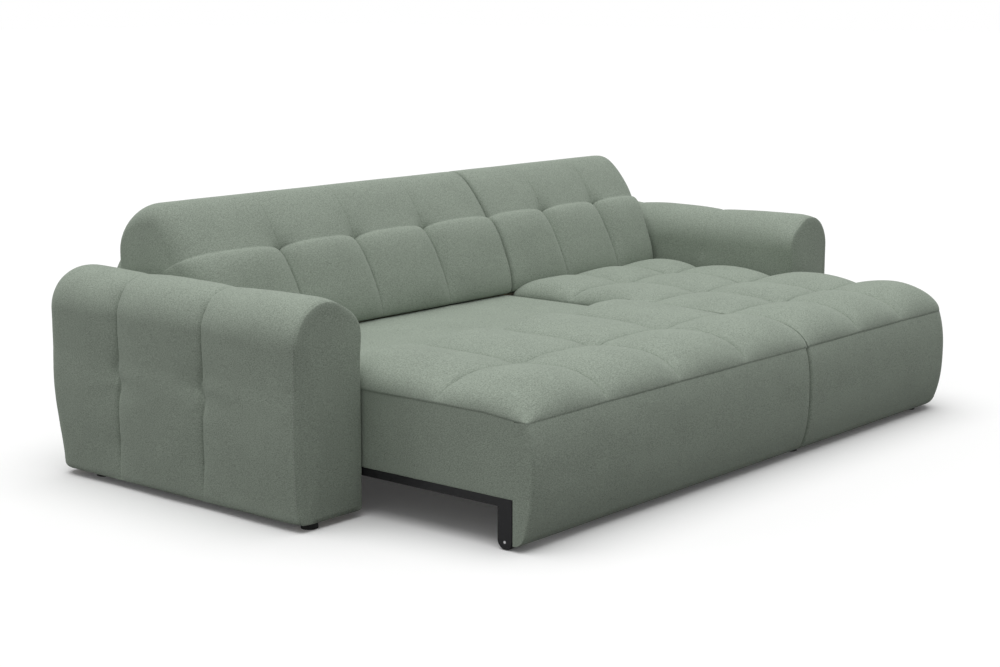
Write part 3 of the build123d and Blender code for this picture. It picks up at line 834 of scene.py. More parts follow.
    def stitches(self, finishes: Finishes) -> None:
        """Sews a row of short stitches behind the arch seam."""
        ring = self.outline()
        first = next(i for i, (w, z) in enumerate(ring) if w > 0.2 and z > 0.06)
        run = [(w, z) for w, z in ring[first:] if w > 0.004 or z > PLAN.seat]
        cover = Cover(f"arm_{self.side.name.lower()}_stitches")
        depth = self.arch_seam - self.stitch_behind
        inset = self.rounded(depth)
        left = 0.0
        for (aw, az), (bw, bz) in zip(run, run[1:]):
            length = math.hypot(bw - aw, bz - az)
            turn = math.atan2(bz - az, self.side.value * (bw - aw))
            lying = Euler((0.0, math.pi / 2 - turn, 0.0)).to_matrix()
            while left < length:
                share = left / length
                w, z = self.drawn_in(aw + (bw - aw) * share, az + (bz - az) * share, inset)
                made = bmesh.ops.create_cone(cover.bm, cap_ends=True, segments=6, radius1=0.0007,
                                             radius2=0.0007, depth=0.0062)["verts"]
                bmesh.ops.rotate(cover.bm, verts=made, matrix=lying)
                spot = PLAN.at(self.side.value * (PLAN.inner + w), depth, z)
                bmesh.ops.translate(cover.bm, verts=made, vec=spot)
                left += self.stitch_pitch
            left -= length
        cover.finish(Carrier.BASE, finishes, "upholstery", [], look="thread")

    def build(self, finishes: Finishes) -> None:
        """Builds the arm's cover and its front pad and hangs them on the base."""
        name = self.side.name.lower()
        start = self.rear + self.rear_dome
        rows = []
        for sine, cosine in quarter(0, 12, 13):
            depth = start + self.rear_round * (1.0 - cosine)
            rows.append(self.ring_at(depth, self.rear_inset * (1.0 - sine)))
        rows = self.capped(rows[0], self.rear_dome)[::-1] + rows
        for depth in stations((start + self.rear_round,) + self.seams + (self.arch_seam,), (24, 40, 40)):
            rows.append(self.ring_at(depth, self.rounded(depth)))
        sewn_piece(f"arm_{name}_cover", rows, Carrier.BASE, f"arm_{name}_padding", 0.85, finishes)

        first = self.arch_seam + self.front_gap
        run = PLAN.arm_length - self.front_dome - first
        inset = self.rounded(self.arch_seam)
        rows = [self.ring_at(self.arch_seam, inset + self.seam_run), self.ring_at(self.arch_seam, inset)]
        for sine, cosine in quarter(0, 9, 9):
            drawn = inset + self.front_start + self.front_turn * sine + self.front_inset * (1.0 - cosine)
            rows.append(self.ring_at(first + run * sine, drawn))
        rows += self.capped(rows[-1], -self.front_dome)
        sewn_piece(f"arm_{name}_front_cover", rows, Carrier.BASE, f"arm_{name}_front_pad", 0.8, finishes)
        self.stitches(finishes)


@dataclass(frozen=True)
class Roll:
    """How one edge of a top rolls down: over what width, to what height and up to what depth of the sofa."""

    width: float = 0.0
    low: float = PLAN.seam
    until: float = 9.0

    def holds(self, depth: float) -> float:
        """Share of the roll that is left at a depth: all of it up to its end, and none a little past that."""
        return 1.0 - blend(0.0, 0.06, depth - self.until)


@dataclass
class Quilt:
    """Tufted top: a pad that rolls down at its edges and is drawn in along its sewn channels."""

    xs: tuple[float, ...]
    depths: tuple[float, ...]
    crown: float
    rolls: tuple[Roll, Roll, Roll, Roll]
    channel: float = 0.031
    crease: float = 0.0045
    crease_width: float = 0.006
    tuft: float = 0.009
    tuft_reach: float = 0.045
    tuft_range: float = 0.2
    rise: float = 0.0
    rise_run: Point = (0.08, 0.18)
    power: float = 2.2
    fill_power: float = 0.55
    uneven: float = 1.0
    corners: Point = (0.0, 0.0)
    seed: float = 0.0
    near_edge: float = 0.05
    gathers: Point = (0.0020, 0.0018)
    gather_size: float = 0.034
    gather_reach: float = 0.026
    gather_range: float = 0.12
    pucker: float = 0.0022
    pucker_reach: float = 0.055
    pucker_folds: float = 6.0
    pucker_phase: Point = (11.0, 5.0)
    seam_phase: float = 7.0
    wave: Wave = Wave(((0.0026, 0.20, 0.0), (0.0009, 0.06, 5.0)))

    def gaps(self, x: float, depth: float) -> tuple[float, float, float, float]:
        """Distances to the left, right, rear and front edges."""
        return x - self.xs[0], self.xs[-1] - x, depth - self.depths[0], self.depths[-1] - depth

    def risen(self, gap: float, roll: Roll) -> float:
        """Share of its height that the pad has reached at a distance from an edge that rolls down."""
        return (1.0 - (1.0 - min(1.0, max(0.0, gap / roll.width))) ** self.power) ** self.fill_power

    def pad(self, x: float, depth: float) -> float:
        """Height of the pad without its channels."""
        level = 1.0
        for gap, roll in zip(self.gaps(x, depth), self.rolls):
            if roll.width > 0.0:
                drop = (self.crown - roll.low) / (self.crown - PLAN.seam) * roll.holds(depth)
                level *= 1.0 - drop * (1.0 - self.risen(gap, roll))
        return PLAN.seam + (self.crown - PLAN.seam) * level

    def pulled(self, stops: Sequence[float], value: float, rolls: Sequence[Roll], depth: float) -> float:
        """Share of a channel's depth at a place across the channels of one direction."""
        seam, u, inner = nearest_seam(stops, value)
        roll = rolls[0] if seam == 0 else rolls[1]
        open_edge = not inner and roll.width > 0.0
        return (1.0 - fullness(u)) * (1.0 - roll.holds(depth) if open_edge else 1.0)

    def sink(self, x: float, depth: float) -> float:
        """How far the channels and tufts draw the top in, square to its surface."""
        across = self.pulled(self.xs, x, self.rolls[:2], depth)
        along = self.pulled(self.depths, depth, self.rolls[2:], depth)
        drawn = self.channel * (across + along - across * along)
        for sx in self.xs[1:-1]:
            for sd in self.depths[1:-1]:
                away = math.hypot(x - sx, depth - sd)
                if away < self.tuft_range:
                    drawn += self.tuft * bell(away, self.tuft_reach)
        for gap, roll in zip(self.gaps(x, depth), self.rolls):
            if roll.width > 0.0 and roll.until > depth:
                drawn *= self.risen(gap, roll)
        return drawn + self.sewn(x, depth)

    def sewn(self, x: float, depth: float) -> float:
        """Depth of the narrow crease that the thread leaves along each channel."""
        drawn = 0.0
        for stops, value in ((self.xs, x), (self.depths, depth)):
            away = min((abs(value - stop) for stop in stops[1:-1]), default=1.0)
            drawn += self.crease * fade(away, self.crease_width)
        for gap in self.gaps(x, depth):
            drawn *= blend(0.0, self.crease_width, gap)
        return drawn

    def notched(self, x: float, depth: float) -> float:
        """Rise of an edge seam beside each channel that runs into it."""
        left, right, _, front = self.gaps(x, depth)
        lifted = self.rise * blend(0.0, self.rise_run[1], front) * (1.0 - blend(0.0, self.rise_run[0], left))
        side = min((gap for gap, roll in zip((left, right), self.rolls) if roll.width > 0.0), default=1.0)
        rise = peak_at(self.depths, depth) * (1.0 - blend(0.0, self.near_edge, side))
        if self.rolls[3].width > 0.0:
            rise += peak_at(self.xs, x) * (1.0 - blend(0.0, self.near_edge, front))
        return rise + lifted

    def spot(self, x: float, depth: float) -> Triple:
        """Place on the finished top.

        Args:
            x: X value before the channels draw the top in.
            depth: Depth before that.

        Returns:
            The X value, the depth and the height.
        """
        step = 0.002
        z = self.pad(x, depth)
        fold = self.creases(x, depth)
        for gap in self.gaps(x, depth):
            fold *= blend(0.0, self.near_edge, gap)
        inward = self.sink(x, depth) - fold
        dx = self.pad(x + step, depth) - self.pad(x - step, depth)
        dd = self.pad(x, depth + step) - self.pad(x, depth - step)
        normal = Vector((-dx, -dd, 2.0 * step)).normalized()
        z += self.notched(x, depth)
        return x - inward * normal.x, depth - inward * normal.y, z - inward * normal.z

    def creases(self, x: float, depth: float) -> float:
        """Small folds: puckers round the tufts, gathers along the seams and a slight unevenness."""
        fold = self.wave.at(Vector((x, depth, 0.0)), self.seed)
        for sx in self.xs[1:-1]:
            spot = Vector((sx * self.seam_phase, depth, 0.0))
            fold += self.gathers[0] * self.gathered(abs(x - sx), spot, 3.0)
            for sd in self.depths:
                away = math.hypot(x - sx, depth - sd)
                if away < self.tuft_range:
                    phase = self.pucker_phase[0] * sx + self.pucker_phase[1] * sd
                    folds = math.cos(self.pucker_folds * math.atan2(depth - sd, x - sx) + phase)
                    fold += self.pucker * fade(away, self.pucker_reach) * folds
        for sd in self.depths:
            spot = Vector((x, sd * self.seam_phase, 0.0))
            fold += self.gathers[1] * self.gathered(abs(depth - sd), spot, 8.0)
        return self.uneven * fold

    def gathered(self, near: float, spot: Vector, seed: float) -> float:
        """Share of the gathers along a seam at a distance from it."""
        if near >= self.gather_range:
            return 0.0
        return ripple(spot, self.gather_size, self.seed + seed) * fade(near, self.gather_reach)

    def plan(self, x: float, depth: float) -> Point:
        """Place in plan, with the two front corners rounded."""
        for radius, edge, sign in zip(self.corners, (self.xs[0], self.xs[-1]), (-1.0, 1.0)):
            cx, cd = edge - sign * radius, self.depths[-1] - radius
            if radius > 0.0 and sign * (x - cx) > 0.0 and depth > cd:
                u, v = sign * (x - cx) / radius, (depth - cd) / radius
                return (cx + sign * radius * u * math.sqrt(1.0 - v * v / 2.0),
                        cd + radius * v * math.sqrt(1.0 - u * u / 2.0))
        return x, depth

    @staticmethod
    def tucked(rows: list[Row], by: float = 0.012) -> list[Row]:
        """Rows with their outer edge turned in underneath."""
        middle = (rows[0][0] + rows[0][-1] + rows[-1][0] + rows[-1][-1]) / 4.0

        def turned(point: Vector) -> Vector:
            """Point moved in and down, or straight down a side that stands open."""
            if point.z > PLAN.seam + 0.015:
                return Vector((point.x, point.y, PLAN.seam + 0.001))
            inwards = Vector((middle.x - point.x, middle.y - point.y, 0.0)).normalized()
            return point + by * (inwards - Vector((0.0, 0.0, 1.0)))

        wide = [[turned(row[0])] + row + [turned(row[-1])] for row in rows]
        return [[turned(p) for p in wide[0]]] + wide + [[turned(p) for p in wide[-1]]]

    def rows(self, across: int, along: int,
             shape: Callable[[float, float], Point] | None = None) -> list[Row]:
        """Rows of points over the top.

        Args:
            across: Points across each cell.
            along: Points along each cell.
            shape: Further change of a place in plan.

        Returns:
            The rows, from the rear to the front.
        """
        rows = []
        for depth in stations(self.depths, [along] * (len(self.depths) - 1)):
            row = []
            for x in stations(self.xs, [across] * (len(self.xs) - 1)):
                px, pd, z = self.spot(x, depth)
                px, pd = self.plan(px, pd)
                if shape:
                    px, pd = shape(px, pd)
                row.append(PLAN.at(px, pd, z))
            rows.append(row)
        return self.tucked(rows)


@dataclass
class PullOutSeat:
    """Pull-out seat: tufted cushion, plain rear pad, front panel and side panels."""

    columns: int = 4
    rear: float = 0.975
    row_seam: float = 1.388
    pad_rear: float = 0.452
    corner: float = 0.010
    rise: float = 0.010
    rail_top: float = 0.145
    panel_depth: float = 0.018
    panel_inset: float = 0.0015
    panel_swell: float = 0.0012
    panel_wave: Wave = Wave(((0.0016, 0.13, 31.0),))
    panel_still: float = 0.12

    def seams(self) -> tuple[float, ...]:
        """X values of the cushion's edges and channels."""
        width = PLAN.pull_right - PLAN.pull_left
        return tuple(PLAN.pull_left + width * i / self.columns for i in range(self.columns + 1))

    def row_seams(self) -> Triple:
        """Depths of the cushion's edges and its cross channel."""
        return self.rear, self.row_seam, PLAN.reach

    def cushion(self, finishes: Finishes) -> None:
        """Builds the tufted cushion."""
        rolls = (Roll(0.19), Roll(), Roll(0.075, PLAN.pad_top - 0.012), Roll(0.17))
        quilt = Quilt(self.seams(), self.row_seams(), PLAN.seat + 0.002, rolls, rise=self.rise,
                      corners=(self.corner, 0.0))
        sewn_piece("pull_out_seat_cover", quilt.rows(44, 44), Carrier.PULL_OUT, "pull_out_cushion", 0.8,
                   finishes)

    def rear_pad(self, finishes: Finishes) -> None:
        """Builds the plain pad behind the cushion."""
        edge = Roll(0.03, PLAN.pad_top - 0.009)
        rolls = (edge, edge, Roll(0.006, PLAN.pad_top - 0.004), Roll(0.04, PLAN.pad_top - 0.014))
        xs, depths = (PLAN.pull_left, PLAN.frame_right), (self.pad_rear, self.rear + 0.006)
        quilt = Quilt(xs, depths, PLAN.pad_top - 0.001, rolls, uneven=0.3, seed=20.0)
        sewn_piece("pull_out_rear_pad_cover", quilt.rows(110, 60), Carrier.PULL_OUT, "pull_out_rear_pad", 0.9,
                   finishes)

    def front_panel(self, finishes: Finishes) -> None:
        """Builds the padded front panel, round at its outer end."""
        panel, seams = Panel(), self.seams()
        left, right = PLAN.pull_left, PLAN.pull_right
        rows = panel.end(left, -1.0, (self.corner, self.corner), 9)[::-1]
        for x in stations((left + self.corner,) + seams[1:-1] + (right - panel.meet[0],), (34, 34, 34, 34)):
            rows.append(panel.ring(x, 0.0, peak_at(seams, x)))
        rows += panel.end(right, 1.0, panel.meet, 5)
        sewn_piece("pull_out_front_cover", rows, Carrier.PULL_OUT, "pull_out_front_panel", 0.85, finishes)

    def side_panel(self, side: Side, finishes: Finishes) -> None:
        """Builds a side panel above the rail."""
        outer = PLAN.pull_left if side is Side.LEFT else PLAN.frame_right
        inner = outer - side.value * self.panel_depth
        face = outer - side.value * self.panel_inset
        rows = []
        for depth in stations((self.rear, self.row_seam, PLAN.panel_back + 0.004), (36, 36)):
            top = PLAN.seam + peak_at(self.row_seams(), depth)
            top += self.rise * blend(0.0, Quilt.rise_run[1], PLAN.reach - depth)
            low = (face, self.rail_top)
            run = pillow(low, (face, top), side.value * self.panel_swell, 26, 4.0)
            row = []
            for x, z in [(inner, self.rail_top), low] + run + [(inner, top)]:
                soft = self.panel_wave.at(Vector((depth, z, 0.0))) if x != inner else 0.0
                soft *= blend(0.0, self.panel_still, PLAN.panel_back - depth)
                row.append(PLAN.at(x - side.value * soft, depth, z))
            rows.append(row + row[:1])
        name = side.name.lower()
        sewn_piece(f"pull_out_side_cover_{name}", rows, Carrier.PULL_OUT, f"pull_out_side_panel_{name}", 0.8,
                   finishes)

    def build(self, finishes: Finishes) -> None:
        """Builds every soft piece of the pull-out seat."""
        self.cushion(finishes)
        self.rear_pad(finishes)
        self.front_panel(finishes)
        for side in Side:
            self.side_panel(side, finishes)
        foam_piece("pull_out_foam", Carrier.PULL_OUT, finishes)
        strap_piece("pull_out_webbing", Carrier.PULL_OUT, finishes)


@dataclass
class Panel:
    """Section of a front panel, full in its middle and drawn in at its top seam."""

    low: float = 0.016
    high: float = PLAN.seam
    back: float = PLAN.panel_back
    face: float = PLAN.reach
    bulge: float = 0.022
    toe: float = 0.046
    toe_sweep: float = 70.0
    setback: float = 0.004
    top_forward: float = 0.003
    face_zone: float = 0.06
    held: Ramp = Ramp(0.0, 0.03)
    meet: Point = (0.012, 0.014)
    wave: Wave = Wave(((0.0026, 0.24, 12.0), (0.0009, 0.07, 14.0)))

    def section(self, inset: float, peak: float) -> list[Point]:
        """Outline of the panel, as depths and heights.

        Args:
            inset: Distance by which its face is drawn back.
            peak: Height by which its top seam peaks there.

        Returns:
            The outline's points.
        """
        face = self.face - inset - self.setback
        toe = min(self.toe, face - self.back - 0.002)
        ring = [(self.back, self.low)] + line((self.back, self.low), (face - toe, self.low), 3)
        ring += corner_round((face, self.low), toe, 10, self.toe_sweep)
        start, top = ring[-1], (face + self.top_forward, self.high + peak)
        for share in eased(0.0, 1.0, 40)[1:]:
            swell = self.bulge * (1.0 - abs(2.0 * share - 1.0) ** 2.5)
            depth = start[0] + (top[0] - start[0]) * share + swell
            ring.append((depth, start[1] + (top[1] - start[1]) * share))
        return ring + line(top, (self.back, self.high - self.setback), 3)

    def ring(self, x: float, inset: float, peak: float) -> Row:
        """Closed ring of the panel at an X value."""
        row = []
        for depth, z in self.section(inset, peak):
            wave = 0.0
            if depth > self.face - self.face_zone:
                wave = self.held.at(self.high - z) * self.wave.at(Vector((x, z, 0.0)))
            row.append(PLAN.at(x, depth + wave, z))
        return row + row[:1]

    def end(self, x: float, sign: float, size: Point, count: int) -> list[Row]:
        """Rows round an end of the panel.

        Args:
            x: X value of the end.
            sign: -1 for a left end and 1 for a right end.
            size: Width of the round, and how far the face is drawn back.
            count: Number of rows.

        Returns:
            The rows, outwards.
        """
        width, back = size
        return [self.ring(x - sign * width * (1.0 - sine), back * (1.0 - cosine), 0.0)
                for sine, cosine in quarter(1, count, count)]


@dataclass
class Chaise:
    """Chaise at the right: tufted cushion, padded band round its front and side, rear pad and linings."""

    xs: tuple[float, ...] = (PLAN.chaise_left, 0.610, 0.905, PLAN.chaise_right)
    depths: tuple[float, ...] = (0.472, 0.735, 1.070, 1.400, PLAN.reach)
    corner: float = 0.085
    arm_gap: float = 0.004
    arm_past: float = 0.040
    wave: Wave = Wave(((0.002, 0.2, 17.0),))

    def beside_arm(self, x: float, depth: float) -> Point:
        """Draws the right edge in where the cushion lies beside the arm."""
        edge = PLAN.inner - self.arm_gap
        held = 1.0 - blend(PLAN.arm_length + self.arm_gap, PLAN.arm_length + self.arm_past, depth)
        start = self.xs[-2]
        if x > start:
            share = (x - start) / (PLAN.chaise_right - start)
            x -= held * share * (PLAN.chaise_right - edge)
        return x, depth

    def cushion(self, finishes: Finishes) -> None:
        """Builds the tufted cushion."""
        rolls = (Roll(0.11, PLAN.pad_top - 0.004, 0.93), Roll(0.17), Roll(), Roll(0.17))
        quilt = Quilt(self.xs, self.depths, PLAN.seat + 0.002, rolls, corners=(0.0, self.corner), seed=40.0)
        rows = quilt.rows(40, 36, self.beside_arm)
        sewn_piece("chaise_seat_cover", rows, Carrier.BASE, "chaise_cushion", 0.8, finishes)

    def band(self, finishes: Finishes) -> None:
        """Builds the padded band round the front and the right side."""
        panel = Panel()
        left, right = PLAN.chaise_left, PLAN.chaise_right
        centre = (right - self.corner, PLAN.reach - self.corner)
        rows = panel.end(left, -1.0, panel.meet, 5)[::-1]
        for x in stations((left + panel.meet[0],) + self.xs[1:-1] + centre[:1], (32, 30, 26)):
            rows.append(panel.ring(x, 0.0, peak_at(self.xs, x)))
        for sine, cosine in quarter(1, 18, 18):
            row = []
            for depth, z in panel.section(0.0, 0.0):
                out = max(0.002, depth - centre[1])
                row.append(PLAN.at(centre[0] + out * sine, centre[1] + out * cosine, z))
            rows.append(row + row[:1])
        for depth in stations((centre[1], self.depths[3], PLAN.arm_length + 0.003), (16, 26))[1:]:
            row = []
            for place, z in panel.section(0.0, peak_at(self.depths, depth)):
                out = place - PLAN.reach
                wave = self.wave.at(Vector((depth, z, 3.0))) if out > -0.03 else 0.0
                row.append(PLAN.at(right + out + wave * panel.held.at(PLAN.seam - z), depth, z))
            rows.append(row + row[:1])
        sewn_piece("chaise_band_cover", rows, Carrier.BASE, "chaise_band", 0.85, finishes)

    def lining(self, finishes: Finishes) -> None:
        """Builds the upholstered left side, which shows when the seat is pushed in."""
        low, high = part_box("chaise_left_panel")
        cover = Cover("chaise_left_cover").soft_block(low, high, 0.0006, 0.0012)
        cover.finish(Carrier.BASE, finishes, "upholstery", ["chaise_left_panel"], 0.5)

    def build(self, finishes: Finishes) -> None:
        """Builds every soft piece of the chaise."""
        self.cushion(finishes)
        self.band(finishes)
        self.lining(finishes)
        foam_piece("chaise_foam", Carrier.BASE, finishes)
        foam_piece("chaise_rear_pad", Carrier.BASE, finishes)
        strap_piece("chaise_webbing", Carrier.BASE, finishes)
        cloth_piece("chaise_dust_cloth", finishes)


@dataclass
class Back:
    """Back cushion: sewn columns below a pinched, scalloped seam and a plain leaning top."""

    name: str
    stops: tuple[float, ...]
    node: str
    rounds: Point
    over: float = 0.0
    front: float = 0.462
    pinch: Point = (0.352, 0.658)
    crest: Point = (0.190, 0.842)
    shoulder: Point = (0.0245, 0.716)
    cell_bulge: float = 0.042
    seam_bulge: float = 0.027
    lip: float = 0.4108
    arch: float = 0.034
    forward: float = 0.004
    drawn: float = 0.020
    drawn_across: float = 0.036
    drawn_up: float = 0.030
    gather: float = 0.0013
    gather_size: float = 0.016
    dome: float = 0.12
    nose: Point = (0.05, 0.025)
    drawn_shares: Triple = (0.3, 0.25, 0.6)
    rise: Point = (0.28, 0.45)
    brow: float = 0.66
    seed: float = 0.0
    aside: Ramp = Ramp(0.56, 0.74)
    wave: Wave = Wave(((0.0032, 0.26, 0.0), (0.0010, 0.07, 2.0)))

    def nearest(self, x: float) -> tuple[float, float, bool]:
        """Finds the nearest seam.

        Args:
            x: X value.

        Returns:
            How full the cell is there, the distance to the seam, and whether the seam is an inner one.
        """
        seam, u, inner = nearest_seam(self.stops, x)
        full = puff(u, 3.0)
        return full if inner else 0.5 + 0.5 * full, abs(x - self.stops[seam]), inner

    def section(self, x: float, inset: float) -> list[Point]:
        """Outline of the back at an X value, as depths and heights.

        Args:
            x: X value.
            inset: Distance by which the free sides are drawn in.

        Returns:
            The outline's points, from the rear of the underside forwards and up.
        """
        full, away, inner = self.nearest(x)
        drawn = self.drawn * bell(away, self.drawn_across) if inner else 0.0
        under = PLAN.back_underside
        toe = (self.front - inset + self.forward * full, self.lip + 0.005)
        at_pinch, at_rear, at_shoulder = [inset * share for share in self.drawn_shares]
        high = self.pinch[1] + self.arch * full - at_pinch
        pinch = (self.pinch[0] - inset - drawn + self.forward * full, high)
        plain = (self.pinch[0] - inset + self.forward, high)
        crest = (self.crest[0], self.crest[1] - inset)
        shoulder = (self.shoulder[0] + at_rear, self.shoulder[1] - at_shoulder)
        ring = [(self.shoulder[0], under)]
        ring += line(ring[0], (toe[0] - self.nose[0], under), 6)
        below = (toe[0] - self.forward, self.lip - 0.003)
        ring += bezier(ring[-1], (toe[0] - self.nose[1], under), below, toe, 6)
        ring += pillow(toe, pinch, self.seam_bulge + (self.cell_bulge - self.seam_bulge) * full, 40, 2.5)
        lean = (crest[0] - plain[0], crest[1] - plain[1])
        rise = (plain[0] + self.rise[0] * lean[0], plain[1] + self.rise[1] * lean[1])
        brow = (plain[0] + self.brow * lean[0], crest[1])
        for depth, z in bezier(plain, rise, brow, crest, 44):
            ring.append((depth - drawn * fade(z - pinch[1], self.drawn_up), z))
        back = (shoulder[0] - crest[0], crest[1] - shoulder[1])
        roll = [(crest[0] + back[0] * cosine, shoulder[1] + back[1] * sine)
                for sine, cosine in quarter(1, 19, 20)]
        ring += roll[::-1] + [shoulder]
        ring += line(shoulder, (shoulder[0], under), 12)
        return ring[:-1]

    def ring_at(self, x: float, inset: float) -> Row:
        """Closed ring of the back at an X value."""
        row = []
        _, away, inner = self.nearest(x)
        right = self.stops[-1]
        for depth, z in self.section(x, inset):
            wave = 0.0
            if depth > 0.06:
                wave = self.wave.at(Vector((x, depth, z)), self.seed)
                if inner and depth > 0.3:
                    gather = ripple(Vector((0.0, z, x)), self.gather_size, self.seed + 4.0)
                    wave += self.gather * gather * fade(away, self.gather_size)
            aside = self.over * blend(right - 0.10, right, x) * self.aside.at(z)
            row.append(PLAN.at(x + aside, depth + wave, max(self.lip, z + 0.4 * wave)))
        return row + row[:1]

    def end(self, x: float, radius: float, sign: float) -> list[Row]:
        """Rounded end of the cushion, from its inner side to its middle.

        Args:
            x: X value of the end.
            radius: Radius of its edges.
            sign: -1 for the left end and 1 for the right end.

        Returns:
            Rows from the start of the round to the middle of the end face.
        """
        rows = [self.ring_at(x - sign * radius * (1.0 - sine), radius * (1.0 - cosine))
                for sine, cosine in quarter(1, 11, 11)]
        swell = Vector((sign * self.dome * radius, 0.0, 0.0))
        return rows + domed(rows[-1], swell, (0.94, 0.84, 0.68, 0.45, 0.2, 0.0), 2.0)

    def build(self, finishes: Finishes) -> None:
        """Builds the back's cover."""
        left, right = self.stops[0], self.stops[-1]
        stops = (left + self.rounds[0],) + self.stops[1:-1] + (right - self.rounds[1],)
        rows = self.end(left, self.rounds[0], -1.0)[::-1]
        for x in stations(stops, [40] * (len(stops) - 1)):
            rows.append(self.ring_at(x, 0.0))
        rows += self.end(right, self.rounds[1], 1.0)
        sewn_piece(self.name, rows, Carrier.BASE, self.node, 0.75, finishes)


def foam_piece(node: str, carrier: Carrier, finishes: Finishes) -> None:
    """Builds a foam block over its CAD node."""
    low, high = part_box(node)
    cover = Cover(f"{node}_block").soft_block(low, high, 0.0018, 0.004)
    cover.finish(carrier, finishes, "foam", [node], 0.7)


def strap_piece(node: str, carrier: Carrier, finishes: Finishes) -> None:
    """Builds a row of straps that sag a little between their ends."""
    count, width, sag = 9, 0.060, 0.0006
    low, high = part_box(node)
    pitch = (high.x - low.x - width) / (count - 1)
    cover = Cover(f"{node}_straps")
    for i in range(count):
        left = low.x + i * pitch
        middle = Vector((left + width / 2.0, (low.y + high.y) / 2.0, high.z - 0.0011))
        made = bmesh.ops.create_grid(cover.bm, x_segments=6, y_segments=24, size=0.5)["verts"]
        bmesh.ops.scale(cover.bm, vec=(width, high.y - low.y, 1.0), verts=made)
        for vert in made:
            share = 2.0 * vert.co.y / (high.y - low.y)
            vert.co.z = -sag * (1.0 - share * share)
        bmesh.ops.translate(cover.bm, vec=middle, verts=made)
    bmesh.ops.solidify(cover.bm, geom=cover.bm.faces[:], thickness=0.0016)
    cover.finish(carrier, finishes, "webbing", [node])


def cloth_piece(node: str, finishes: Finishes) -> None:
    """Builds a stretched lining under the chaise."""
    low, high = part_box(node)
    size, middle = high - low, (low + high) / 2.0
    cover, wave = Cover(f"{node}_sheet"), Wave(((0.0005, 0.09, 51.0),))
    bmesh.ops.create_grid(cover.bm, x_segments=50, y_segments=70, size=0.5)
    bmesh.ops.scale(cover.bm, vec=(size.x, size.y, 1.0), verts=cover.bm.verts[:])
    for vert in cover.bm.verts:
        vert.co.z = wave.at(vert.co)
    bmesh.ops.translate(cover.bm, vec=middle, verts=cover.bm.verts[:])
    obj = cover.finish(Carrier.BASE, finishes, "lining", [node])


@dataclass
class RearWall:
    """Plywood panel behind the back, with rounded upper corners, and the cloth over it and its edges."""

    corner: float = 0.170
    room: float = 0.002
    wrap: float = 0.0195
    arris: float = 0.0015
    wave: Wave = Wave(((0.0010, 0.14, 61.0), (0.0004, 0.04, 63.0)))

    def board(self, finishes: Finishes) -> None:
        """Builds the plywood panel."""
        low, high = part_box("rear_panel")
        room = Vector((self.room, 0.0, self.room))
        low, high = low + room, high - room
        cover = Cover("rear_board")
        bmesh.ops.create_cube(cover.bm, size=1.0)
        bmesh.ops.scale(cover.bm, vec=high - low, verts=cover.bm.verts[:])
        bmesh.ops.translate(cover.bm, vec=(low + high) / 2.0, verts=cover.bm.verts[:])
        upper = [edge for edge in cover.bm.edges
                 if all(v.co.z > high.z - 0.001 for v in edge.verts)
                 and abs(edge.verts[0].co.y - edge.verts[1].co.y) > 0.01]
        bmesh.ops.bevel(cover.bm, geom=upper, offset=self.corner, segments=12, profile=0.5, affect="EDGES",
                        material=-1)
        rims = [edge for edge in cover.bm.edges if abs(edge.verts[0].co.y - edge.verts[1].co.y) < 0.001]
        bmesh.ops.bevel(cover.bm, geom=rims, offset=self.arris, segments=2, profile=0.5, affect="EDGES",
                        material=-1)
        obj = cover.finish(Carrier.BASE, finishes, "plywood", ["rear_panel"])
        for polygon in obj.data.polygons:
            polygon.use_smooth = False

    def cloth(self, finishes: Finishes) -> None:
        """Builds the cloth over the panel's rear face and round its edges."""
        low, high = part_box("rear_cloth")
        size, middle = high - low, (low + high) / 2.0
        cover = Cover("rear_cover")
        bmesh.ops.create_grid(cover.bm, x_segments=180, y_segments=60, size=0.5)
        for vert in cover.bm.verts:
            x, z = math.sin(math.pi * vert.co.x) * size.x / 2.0, (vert.co.y + 0.5) * size.z
            past = max(0.0, abs(x) - size.x / 2.0 + self.corner)
            top = size.z - self.corner + math.sqrt(max(0.0, self.corner ** 2 - past ** 2))
            z *= top / size.z
            wave = self.wave.at(Vector((x, z, 0.0))) * (1.0 - blend(0.0, self.corner, past))
            vert.co = Vector((middle.x + x, middle.y + wave, low.z + z))
        rim = [edge for edge in cover.bm.edges if edge.is_boundary]
        made = bmesh.ops.extrude_edge_only(cover.bm, edges=rim)["geom"]
        turned = [item for item in made if isinstance(item, bmesh.types.BMVert)]
        bmesh.ops.translate(cover.bm, vec=(0.0, -self.wrap, 0.0), verts=turned)
        obj = cover.finish(Carrier.BASE, finishes, "upholstery", ["rear_cloth"])

    def build(self, finishes: Finishes) -> None:
        """Builds the panel and its cloth."""
        self.board(finishes)
        self.cloth(finishes)


